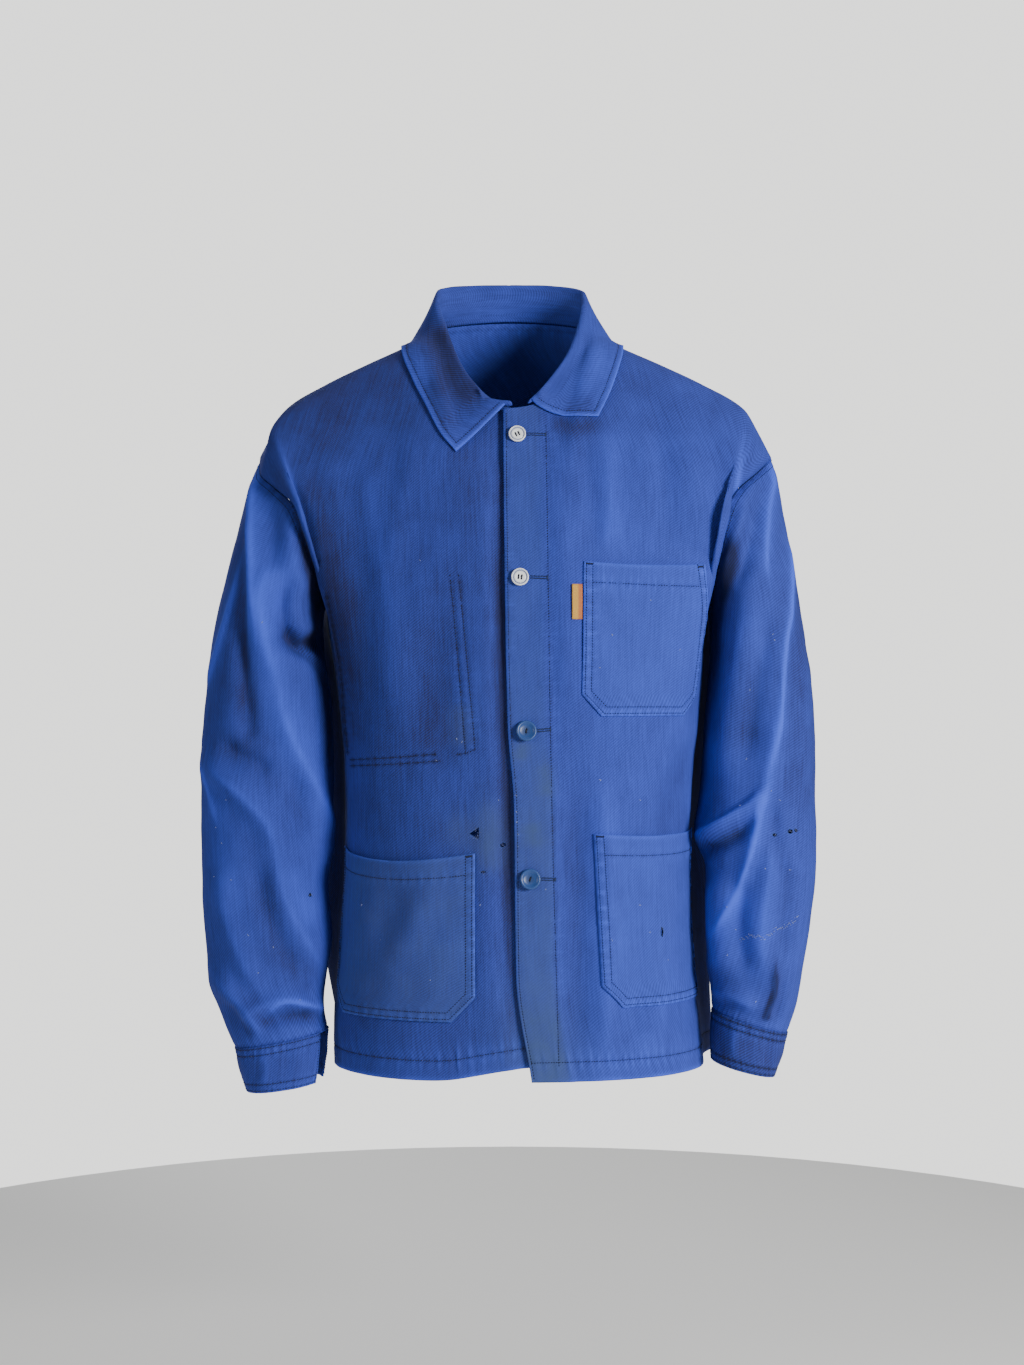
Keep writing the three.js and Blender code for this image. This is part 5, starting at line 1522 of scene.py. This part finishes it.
def pocket_sheet(pocket, panel):
    side, height = pocket["side"], pocket["height"]
    shares = np.linspace(0, 1, POCKET_ACROSS)
    all_columns = np.linspace(0, 0.985, 900)
    points, flat = [], []
    for down in np.linspace(1, 0, POCKET_DOWN):
        trim = max(pocket["cut"] - height * (1 - down), 0) * 0.95
        z = pocket["mouth"] - height * down
        hem = hem_at(side, all_columns, "front")
        all_rows = (z - hem) / (top_edge(side, all_columns, "front")[2] - hem)
        line = body_points(side, all_columns, all_rows, "front")
        walked = walk(line)
        start_x = pocket["out"] + pocket["lean"] * height * down
        start = np.interp(start_x, side * line[:450, 0], walked[:450])
        across = mix(trim, pocket["width"] - trim, shares)
        columns = np.interp(start + across, walked, all_columns)
        sag = (1 - down) ** 2 * pocket["sag"] * np.sin(np.pi * shares)
        level = z + pocket["slope"] * pocket["width"] * shares * (1 - down) - sag
        where, out = on_panel(panel, columns, panel_rows(side, columns, level)[1])
        points.append(where + out * (pocket["lay"] + POCKET_WALL))
        flat.append(np.stack([across, np.full_like(across, height * (1 - down))], -1))
    sheet = Sheet(pocket["name"] + "_cloth", np.array(points), turn=side, hand=side)
    sheet.flat = np.array(flat)
    sheet.pocket = pocket
    return sheet


def pocket_relief(sheet, puff):
    pocket = sheet.pocket
    distance, share = near_path(sheet.flat, pocket_outline(pocket))
    inset = np.abs(distance)
    mouth = pocket["height"] - sheet.flat[..., 1]
    length = 2 * pocket["height"] + pocket["width"]
    height = np.zeros(inset.shape)
    for number, line in enumerate((2.0, 9.0)):
        seed = number + pocket["out"]
        away = np.abs(inset - line)
        height += sewn_line(sheet, away, share * length, 0.28, 8.0, 0.42, 5, 0.20, seed)
    between = np.exp(-(((inset - 5.5) / 3.2) ** 2))
    pucker = np.sin(2 * np.pi * share * length / 8.2 + 2 * np.sin(share * length / 19))
    height += 0.22 * between * pucker
    sheet.wear_and_painted_light[..., 0] += 0.22 * between * np.clip(pucker, 0, 1)
    across = sheet.flat[..., 0]
    hem = np.abs(mouth - MOUTH_HEM)
    height += sewn_line(sheet, hem, across, 0.4, 10.0, 0.45, 7, 0.24, pocket["out"] + 5)
    height += puff * np.exp(-((mouth / 28) ** 2)) * np.sin(np.pi * across / pocket["width"]) ** 2
    rim = np.minimum(inset, mouth + 0.3)
    height -= 0.45 * np.exp(-rim / 1.1)
    sheet.wear_and_painted_light[..., 0] += 0.9 * np.exp(-rim / 1.6) * (0.5 + 0.8 * np.clip(pucker, 0, 1))
    return height


# %% Making the pockets
pocket_sheets = []
for pocket in POCKETS:
    panel = right_front if pocket["side"] < 0 else left_front
    sheet = pocket_sheet(pocket, panel)
    if pocket["lay"] > 0:
        height = pocket_relief(sheet, 1.6)
        above = smooth((sheet.flat[..., 1] - 10) / 20)
        height += ripple(sheet, 34, 0.8, 1.2, pocket["out"]) * above
        sheet.lift(np.maximum(height, -0.7))
        sheet.measure()
    if pocket["name"] == "lower_pocket_right":
        sheet.wear_and_painted_light[..., 1] += 0.5
    dress(sheet, pocket["name"], pocket_twill if pocket["side"] > 0 else body_twill, POCKET_WALL)
    pocket_sheets.append(sheet)

# %% [markdown]
# ## Woven tab
# A small woven tab is caught in the chest pocket's seam and stands out beside it. It is blank: its
# yarn shows plain pale yellow, and an orange-pink stripe along the seam.

# %% The tab
TAB = {"out": 57.4, "top": -265.5, "width": 9.8, "height": 34, "wall": 0.8, "lay": 0.5}
TAB_YARN = 0.9
TAB_YELLOW = (0.70, 0.36, 0.04, 1)
TAB_ORANGE = (0.50, 0.10, 0.03, 1)
TAB_RUBBED = (0.78, 0.56, 0.22, 1)
TAB_HOLLOW = (0.16, 0.09, 0.05, 1)
RAY_START = -400
front_tree = tree_of(left_front)


def front_hit(x, z):
    """Where a level ray from the front meets the left front, and the normal towards the front."""
    hit, out, _, _ = front_tree.ray_cast(Vector((x, RAY_START, z)), Vector((0, 1, 0)))
    return hit, out if out.y < 0 else -out


def woven_tab_finish():
    made = Finish("woven_tab")
    pattern = made.pattern()
    place = made.node("SeparateXYZ", {0: pattern})
    waves = {"Scale": WAVE_PERIOD / (TAB_YARN * MM), "Distortion": 0.8, "Vector": pattern}
    yarn = made.node("TexWave", waves, bands_direction="Y").outputs["Fac"]
    stripe = made.add_scaled(place.outputs[0], 400.0, -2.0, clamp=True)
    base = made.blend(stripe, TAB_YELLOW, TAB_ORANGE)
    worn = made.noise(pattern, 420.0, 3.0, 0.6)
    grubby = made.blend(made.maths("MULTIPLY", worn, 0.3), base, TAB_RUBBED)
    shade = made.add_scaled(yarn, -0.35, 0.35)
    made.fill(made.shader, {"Base Color": made.blend(shade, grubby, TAB_HOLLOW), "Roughness": 0.85})
    made.bump(yarn, 0.12, 1.0)
    return made.material


def tab_sheet():
    lines = []
    for down in np.linspace(1, 0, 18):
        line = []
        for out in np.linspace(0, 1, 9):
            x = TAB["out"] + TAB["width"] * out
            z = TAB["top"] - TAB["height"] * down
            hit, facing = front_hit(x, z)
            curl = 0.5 * (1 - out) ** 2 + 0.25 * math.sin(down * 5)
            line.append((hit + facing * (TAB["lay"] + TAB["wall"] + curl))[:])
        lines.append(line)
    return Sheet("woven_tab_cloth", np.array(lines), turn=1)


tab = tab_sheet()
dress(tab, "pocket_tab", woven_tab_finish(), TAB["wall"])

# %% [markdown]
# ## Buttons
# A sewn-through button is a turned disc: its section is drawn once and spun round. The white ones
# have a raised rim, a groove and four holes, and the blue ones a dish and two holes. The holes are
# bored with a Boolean modifier, and the thread passes over them in short bars.

# %% Button sections as radius and height
WHITE_SECTION = spots("""
0,0 6.9,0 8.1,0.7 8.5,1.6 8.4,2.6 7.9,3.1 7.1,2.9 6.7,1.9 6.1,1.9 5.7,2.6 4.6,2.7 3.4,2.3 0,2.2
""")
BLUE_SECTION = spots("""
0,0 7.8,0 9.3,0.8 10,1.9 9.7,2.8 9,3.2 8.1,3.1 7.2,2.6 6.4,1.9 4.6,1.5 2.4,1.3 0,1.3
""")
BUTTONS = table(
    "name x z kind lean",
    ("button_1", 5.0, -118, "white", 24), ("button_2", 7.6, -259, "white", -8),
    ("button_3", 13.4, -406.5, "blue", 80), ("button_4", 17.2, -547.8, "blue", 72),
)
HOLES = {
    "white": [(-1.5, -1.7), (1.5, -1.7), (-1.5, 1.7), (1.5, 1.7)],
    "blue": [(-1.6, 0), (1.6, 0)],
}
HOLE_RADIUS = 0.85
BUTTON_LIFT = 0.9


def plastic(name, colour, dirt_and_shade, roughness):
    made = Finish(name)
    place = made.place()
    cloud = made.noise(place, 160.0, 4.0, 0.65)
    # Dirt in clouds, and painted shade from the mark's blue in the groove and the dish.
    share = made.add_scaled(cloud, 0.07, made.wear_and_painted_light()[2], clamp=True)
    scratches = made.noise(place, 1400.0, 2.0, 0.5)
    rough = made.add_scaled(scratches, 0.2, roughness - 0.1)
    made.fill(made.shader, {"Base Color": made.blend(share, colour, dirt_and_shade), "Roughness": rough})
    made.bump(cloud, 0.04, 0.4)
    return made.material


white_plastic = plastic(
    "white_button_plastic", (0.95, 0.98, 1.0, 1), (0.05, 0.08, 0.28, 1), 0.30
)
blue_plastic = plastic(
    "blue_button_plastic", (0.020, 0.068, 0.250, 1), (0.008, 0.020, 0.075, 1), 0.38
)


# %% Making a button
def turned_disc(section):
    bm = bmesh.new()
    drawn = [bm.verts.new((r * MM, 0, h * MM)) for r, h in section]
    edges = [bm.edges.new(pair) for pair in zip(drawn[:-1], drawn[1:])]
    bmesh.ops.spin(
        bm, geom=drawn + edges, cent=(0, 0, 0), axis=(0, 0, 1), dvec=(0, 0, 0), angle=2 * math.pi,
        steps=56, use_merge=True, use_duplicate=False,
    )
    bmesh.ops.remove_doubles(bm, verts=bm.verts, dist=0.01 * MM)
    bmesh.ops.recalc_face_normals(bm, faces=bm.faces)
    return bm


def cut_away(piece, bm):
    """Cuts the closed shapes in bm out of a piece, and keeps the result as its mesh."""
    tool = link_piece("cutter", mesh_from(bm, "cutter"))
    cut = piece.modifiers.new("holes", "BOOLEAN")
    cut.operation = "DIFFERENCE"
    cut.object = tool
    cut.solver = "EXACT"
    graph = bpy.context.evaluated_depsgraph_get()
    finished = bpy.data.meshes.new_from_object(piece.evaluated_get(graph))
    piece.modifiers.clear()
    piece.data = finished
    bpy.data.objects.remove(tool)


def bored(piece, holes):
    """The piece with round holes bored down through it."""
    bm = bmesh.new()
    for x, y in holes:
        move = Matrix.Translation((x * MM, y * MM, 1.5 * MM))
        bmesh.ops.create_cone(
            bm, cap_ends=True, segments=20, radius1=HOLE_RADIUS * MM, radius2=HOLE_RADIUS * MM,
            depth=8 * MM, matrix=move,
        )
    cut_away(piece, bm)


def button_place(button):
    hit, out = front_hit(button["x"], button["z"])
    up = Vector((0, 0, 1))
    side = up.cross(out).normalized()
    up = out.cross(side)
    turn = Matrix((side, up, out)).transposed()
    if button["kind"] == "blue":
        tilt = Matrix.Rotation(math.radians(-9), 3, side) @ Matrix.Rotation(math.radians(6), 3, up)
        turn = tilt @ turn
    lift = BUTTON_LIFT + (0.9 if button["kind"] == "blue" else 0)
    middle = (hit + out * lift) * MM
    lean = Matrix.Rotation(math.radians(button["lean"]), 4, "Z")
    return Matrix.Translation(middle) @ turn.to_4x4() @ lean


OUT = Vector((0, 0, 1))
THREAD_TURNS = 10
LOOKS = {
    "white": (WHITE_SECTION, white_plastic, "white_button", [-1.5, 1.5]),
    "blue": (BLUE_SECTION, blue_plastic, "blue_button", [0]),
}


def groove_shade(kind, radius):
    """How dark a button is at a radius in millimetres, from dirt and painted shade: in the groove,
    or in the dish.
    """
    if kind == "white":
        return math.exp(-(((radius - 6.4) / 0.6) ** 2))
    return math.exp(-(((radius - 2) / 2.5) ** 2)) * 0.5


button_thread = Sewing("button_threads")
for button in BUTTONS:
    kind = button["kind"]
    section, plastic_look, slot, bars = LOOKS[kind]
    name = button["name"] + "_disc"
    piece = link_piece(name, mesh_from(turned_disc(section), name))
    bored(piece, HOLES[kind])
    mesh = piece.data
    # Painted shade and dirt in the groove and the dish, kept in the mark's blue.
    wear_and_painted_light = mesh.color_attributes.new("wear_and_painted_light", "FLOAT_COLOR", "POINT")
    for i, vertex in enumerate(mesh.vertices):
        radius = math.hypot(vertex.co.x, vertex.co.y) / MM
        wear_and_painted_light.data[i].color = (0, 0, groove_shade(kind, radius), 1)
    mesh.shade_smooth()
    mesh.materials.clear()
    mesh.materials.append(plastic_look)
    place = button_place(button)
    mesh.transform(place)
    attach(piece, "root")
    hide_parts(button["name"])
    turn = place.to_3x3()
    for bar in bars:
        for nudge in (-0.35, 0, 0.35):
            middle = Vector((bar + nudge, 0, 2.35)) if kind == "white" else Vector((0, nudge, 1.6))
            along = Vector((0, 1, 0)) if kind == "white" else Vector((1, 0, 0))
            start = place @ (middle * MM) / MM
            button_thread.stitch(start, turn @ along, turn @ OUT, length=5.0, radius=0.5, rise=0)
    for number in range(THREAD_TURNS):
        away = Vector((math.cos(number * 0.63), math.sin(number * 0.63), 0))
        foot = place @ ((away * 0.9 - OUT * 0.3) * MM) / MM
        button_thread.stitch(foot, turn @ OUT, turn @ away, length=2.6, radius=0.3, rise=0)
    print(button["name"], "at", [round(v / MM) for v in place.translation])
button_thread.finish(plain_finish("button_thread", (0.006, 0.008, 0.025, 1), 0.8))

# %% [markdown]
# ## Seams and stitches
# Every visible seam is stitched with dark thread, 2.7 mm a stitch. The rows are measured out from
# the edges of each sheet, or follow a path over the picture where the photograph shows one. Short
# dense bars of thread lock the pocket corners and the buttonholes.

# %% Rows along the edges of the panels
BELOW_ARMHOLE = int(BACK_ROWS * 0.78)
SHOULDER_POINTS = 62
SHOULDER_ROWS = (2.2, 8.2)
SLEEVE_TOP_ROWS = (2.0, 8.0)
CUFF_END_ROW = 2.2
POCKET_ROWS = (2.8, 9.0)
BARTACK_STITCHES = 9
BARTACK_STEP = 0.75
panel_thread = Sewing("panel_stitches")
for sheet in (right_front, left_front, back):
    panel_thread.row(*edge_run(sheet, "bottom", HEM_FOLD), start=2, stop=2)
panel_thread.row(*edge_run(left_front, "left", FRONT_EDGE_ROW), start=3, stop=5, gaps=0.03)
panel_thread.row(*picture_run(front_tree, FACING_SEAM), gaps=0.02)
for edge in ("left", "right"):
    for inset in DOUBLE_ROW:
        points, outs = edge_run(back, edge, inset)
        panel_thread.row(points[:BELOW_ARMHOLE], outs[:BELOW_ARMHOLE])
for inset in SHOULDER_ROWS:
    points, outs = edge_run(back, "top", inset)
    for part in (slice(0, SHOULDER_POINTS), slice(-SHOULDER_POINTS, None)):
        panel_thread.row(points[part], outs[part])
right_tree = tree_of(right_front)
for name, path in INNER_POCKET_SEAMS.items():
    gaps = 0.10 if name.startswith("bottom") else 0.03
    panel_thread.row(*picture_run(right_tree, path), gaps=gaps)
panel_thread.finish()

# %% Rows on the sleeves, cuffs and collar
sleeve_thread = Sewing("sleeve_stitches")
for sheet in (right_sleeve, left_sleeve):
    for inset in SLEEVE_TOP_ROWS:
        sleeve_thread.row(*edge_run(sheet, "top", inset))
    seam_column = round(BACK_SEAM_AT * SLEEVE_AROUND)
    for column in (seam_column, seam_column + 3):
        sleeve_thread.row(sheet.points[:, column], sheet.normals()[:, column], start=6, stop=3)
for sheet in (right_cuff, left_cuff):
    for edge in ("top", "bottom"):
        for inset in DOUBLE_ROW:
            sleeve_thread.row(*edge_run(sheet, edge, inset), start=2, stop=2)
    for edge in ("left", "right"):
        sleeve_thread.row(*edge_run(sheet, edge, CUFF_END_ROW))
sleeve_thread.finish()

collar_thread = Sewing("collar_stitches")
collar_thread.row(*edge_run(collar, "right", COLLAR_ROW), start=6, stop=6)
for edge, line in (("bottom", 0), ("top", -1)):
    points, outs = edge_run(collar, edge, COLLAR_ROW)
    first = int(collar.points[line, :, 2].argmax()) + 2
    collar_thread.row(points[first:], outs[first:], stop=6)
collar_thread.finish()


# %% Rows on the pockets
def pocket_run(sheet, path):
    """Points and normals of a path given in a pocket's own flat measures."""
    line = rounded_path(path, 10)
    rows, columns = sheet.points.shape[:2]
    normals = sheet.normals()
    levels = sheet.flat[:, 0, 1]
    points, outs = [], []
    for x, y in line:
        r = np.clip(np.interp(y, levels, np.arange(rows)), 0, rows - 1.001)
        i = int(r)
        left, right = (mix(sheet.flat[i, k, 0], sheet.flat[i + 1, k, 0], r - i) for k in (0, -1))
        c = np.clip((x - left) / (right - left), 0, 1) * (columns - 1.001)
        j = int(c)
        for grid, made in ((sheet.points, points), (normals, outs)):
            low = mix(grid[i, j], grid[i, j + 1], c - j)
            high = mix(grid[i + 1, j], grid[i + 1, j + 1], c - j)
            made.append(mix(low, high, r - i))
    return np.array(points), np.array(outs)


def shrunk_outline(pocket, inset):
    w, h, cut = pocket["width"], pocket["height"], pocket["cut"]
    short = inset * 0.41
    left = [(inset, h - 0.5), (inset, h * 0.5), (inset, cut + short), (cut + short, inset)]
    return both_halves(left, w, inset)


def straight_run(sheet, corners):
    """A run over straight legs between corners."""
    points, outs = [], []
    for a, b in zip(corners[:-1], corners[1:]):
        leg = [mix(np.array(a), np.array(b), t) for t in np.linspace(0, 1, 24)]
        found = pocket_run(sheet, leg)
        points.append(found[0])
        outs.append(found[1])
    return np.concatenate(points), np.concatenate(outs)


pocket_thread = Sewing("pocket_stitches")
for sheet in pocket_sheets:
    pocket = sheet.pocket
    if pocket["lay"] < 0:
        continue
    w, h = pocket["width"], pocket["height"]
    for inset in POCKET_ROWS:
        pocket_thread.row(*straight_run(sheet, shrunk_outline(pocket, inset)))
    hem = h - MOUTH_HEM
    pocket_thread.row(*straight_run(sheet, [(9, hem), (w / 2, hem), (w - 9, hem)]), gaps=0.05)
    for x in (2.4, w - 8.6):
        for step in range(BARTACK_STITCHES):
            across = x + step * BARTACK_STEP
            points, outs = straight_run(sheet, [(across, h - 2.2), (across, h - 4.8)])
            along = points[20] - points[4]
            pocket_thread.stitch(points[12], along, outs[12], length=2.6, radius=0.42)
pocket_thread.finish()

# %% Buttonholes, worked with dense thread
BUTTONHOLES = [spots(pair) for pair in (
    "526,434 545,434.5",
    "530,577 547,577.5",
    "536,731 550,729.5",
    "540,879 555,879.5",
)]
hole_thread = Sewing("buttonhole_threads")
for (u0, v0), (u1, v1) in BUTTONHOLES:
    points, outs = picture_run(front_tree, [(u0, v0), (u1, v1)], 26)
    forward = Vector(points[-1] - points[0]).normalized()
    for k, (point, out) in enumerate(zip(points, outs)):
        across = Vector(out).cross(forward).normalized()
        for way in (-1, 1):
            start = Vector(point) + across * way * (0.95 + 0.2 * random.random())
            hole_thread.stitch(start, across, out, length=1.7, radius=0.33, rise=0.05)
    for step in (0, 0.5, 1.0):
        across = Vector(outs[-1]).cross(forward).normalized()
        start = Vector(points[-1]) + forward * step
        hole_thread.stitch(start, across, outs[-1], length=4.6, radius=0.4, rise=0.2)
hole_thread.finish(plain_finish("buttonhole_thread", (0.016, 0.035, 0.130, 1), 0.8, 0.05, 3000.0))

# %% [markdown]
# ## Holes, frayed yarn and specks
# Years of work have torn the cloth in a few places. A hole is cut with a Boolean modifier through
# the solidified wall, and a few pale ends of yarn stick out of its rim. Lint and pilled yarn are
# tiny soft knots on the surface. Each place is a spot of the photograph, carried onto the cloth
# by a ray from the camera.

# %% Places of the holes: picture x and y, half width and half height in pixels, and lean
TORN = {
    "right_front_cloth": [
        (475.5, 833.5, 6.2, 6.6, 3), (503.0, 845.0, 3.0, 2.2, 9), (483, 872, 2.4, 1.3, 9),
    ],
    "left_sleeve_cloth": [
        (790.5, 831.4, 2.9, 2.2, 9), (796.0, 830.6, 2.2, 1.6, 9), (774.6, 835.0, 2.0, 1.6, 9),
    ],
    "lower_pocket_left_cloth": [(662, 932, 1.6, 5.0, 9)],
    "right_sleeve_cloth": [(310, 895, 2.0, 1.8, 9)],
}
PUNCH_DEPTH = 14.0


def picture_spot(tree, u, v):
    """Where the camera's ray through a pixel meets the sheet, and the sheet's normal there."""
    points, outs = picture_run(tree, [(u, v), (u + 0.5, v), (u + 1, v)], 2)
    return Vector(points[0]), Vector(outs[0])


def punch(piece, tree, holes, fray):
    bm = bmesh.new()
    for u, v, wide, high, corners in holes:
        middle, out = picture_spot(tree, u, v)
        side = Vector((0, 0, 1)).cross(out).normalized()
        turn = Matrix((side, out.cross(side), out)).transposed().to_4x4()
        size = Matrix.Diagonal((wide * MM_PER_PIXEL * MM, high * MM_PER_PIXEL * MM, 1, 1))
        lean = Matrix.Rotation(math.radians(-28 if corners == 3 else 10), 4, "Z")
        place = Matrix.Translation(middle * MM) @ turn @ size @ lean
        bmesh.ops.create_cone(
            bm, cap_ends=True, segments=corners, radius1=1, radius2=1,
            depth=PUNCH_DEPTH * MM, matrix=place,
        )
        for _ in range(9 if corners == 3 else 4):
            angle = random.uniform(0, 2 * math.pi)
            rim = side * math.cos(angle) * wide + out.cross(side) * math.sin(angle) * high
            inward = side * random.uniform(-2, 2) + out * random.uniform(-0.6, 1.4) - rim
            inward.normalize()
            start = middle + rim * 0.95 + out * 0.25
            length = random.uniform(1.0, 2.4)
            for _ in range(3):
                middle_of = start + inward * length / 2
                fray.stitch(middle_of, inward, out, length=length * 1.15, radius=0.13, rise=0)
                start = start + inward * length
                inward = inward + side * random.uniform(-0.6, 0.6) + out * random.uniform(-0.1, 0.3)
                inward.normalize()
                length *= 0.7
    cut_away(piece, bm)
    print(piece.name, len(holes), "holes,", len(piece.data.polygons), "faces")


frayed = Sewing("frayed_yarn")
all_sheets = [right_front, left_front, back, right_sleeve, left_sleeve, right_cuff, left_cuff]
all_sheets += [collar, *pocket_sheets, tab]
sheets = {sheet.name: sheet for sheet in all_sheets}
for name, holes in TORN.items():
    punch(bpy.data.objects[name], tree_of(sheets[name]), holes, frayed)

# %% Specks of lint, pilled yarn and a small darn
SPECKS = {
    "right_sleeve_cloth": spots("""
216,828 214,877 273,947 258,973 222,843 248,935 231,880 262,622 226,800 300,1000
"""),
    "left_sleeve_cloth": spots("""
740,806 771,791 727,907 756,1002 727,955 773,634 746,759 780,800 736,930 790,870
765,868 750,690 774,640
"""),
    "lower_pocket_left_cloth": spots("650,932 640,905 668,960 612,940"),
    "lower_pocket_right_cloth": spots("380,940 430,980 362,905"),
    "chest_pocket_cloth": spots("612,635 650,600 600,668 680,650"),
    "right_front_cloth": spots("457,739 462,742 436,760 498,800 420,560 480,905 470,960"),
    "left_front_cloth": spots("""
546,890 516,812 517,822 518,834 518,846 600,780 640,800 516,795
"""),
}
DARN = spots("740,941 752,935 764,938 776,929 788,925 798,917")
specks = Sewing("lint_specks")
for name, places in SPECKS.items():
    tree = tree_of(sheets[name])
    for u, v in places:
        middle, out = picture_spot(tree, u, v)
        for _ in range(3):
            lean = Vector((random.uniform(-1, 1), random.uniform(-1, 1), random.uniform(-1, 1)))
            nudge = Vector((random.uniform(-0.7, 0.7), 0, random.uniform(-0.7, 0.7)))
            size = {"length": random.uniform(0.9, 2.2), "radius": random.uniform(0.18, 0.34)}
            specks.stitch(middle + nudge, lean.cross(out), out, rise=0.1, **size)
darn_points, darn_outs = picture_run(tree_of(left_sleeve), DARN, 12)
for point, out in zip(darn_points, darn_outs):
    lean = Vector((random.uniform(-1, 1), random.uniform(-0.3, 0.3), random.uniform(-1.4, 1.4)))
    nudge = Vector((0, 0, random.uniform(-2.2, 2.2)))
    length = random.uniform(1.4, 3.0)
    specks.stitch(Vector(point) + nudge, lean, out, length=length, radius=0.24, rise=0.15)
specks.finish(plain_finish("lint", (0.30, 0.36, 0.62, 1), 0.9))
frayed.finish(plain_finish("frayed_yarn", (0.17, 0.21, 0.44, 1), 0.85))

# %% [markdown]
# ## What each sheet was cut to
# A sheet's pattern gives the size of cloth it was cut from. It is printed here for every piece,
# with its area. A table also lists what each piece lies on or hangs from.

# %% Stating the cuts
RESTS_ON = """
right_front_cloth: back_cloth
left_front_cloth: back_cloth right_front_cloth
back_cloth: right_front_cloth left_front_cloth
right_sleeve_cloth: right_front_cloth back_cloth
left_sleeve_cloth: left_front_cloth back_cloth
right_cuff_cloth: right_sleeve_cloth
left_cuff_cloth: left_sleeve_cloth
collar_cloth: right_front_cloth left_front_cloth back_cloth
chest_pocket_cloth: left_front_cloth
lower_pocket_left_cloth: left_front_cloth
lower_pocket_right_cloth: right_front_cloth
inner_chest_pocket_cloth: right_front_cloth
woven_tab_cloth: left_front_cloth
"""
for line in RESTS_ON.strip().splitlines():
    name, rests_on = line.split(": ")
    width, length = (float(value) * MM for value in sheets[name].size())
    area = min(float(sheets[name].area()) * MM * MM, width * length)
    piece = bpy.data.objects[name]
    print(name, "cut from", round(width, 3), "x", round(length, 3), "m, area", round(area, 4))

# %% [markdown]
# ## Finishing
# The plain model's box and the dressed jacket's box are compared, and how far each corner has
# grown is printed. Cloth may stand a little proud of the solids, and no more.

# %% Sizes and the end
visual_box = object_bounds()
for corner, cad, shown in zip(("low", "high"), cad_box, visual_box):
    print(corner, "corner, growth in mm:", [round((b - a) / MM, 1) for a, b in zip(cad, shown)])
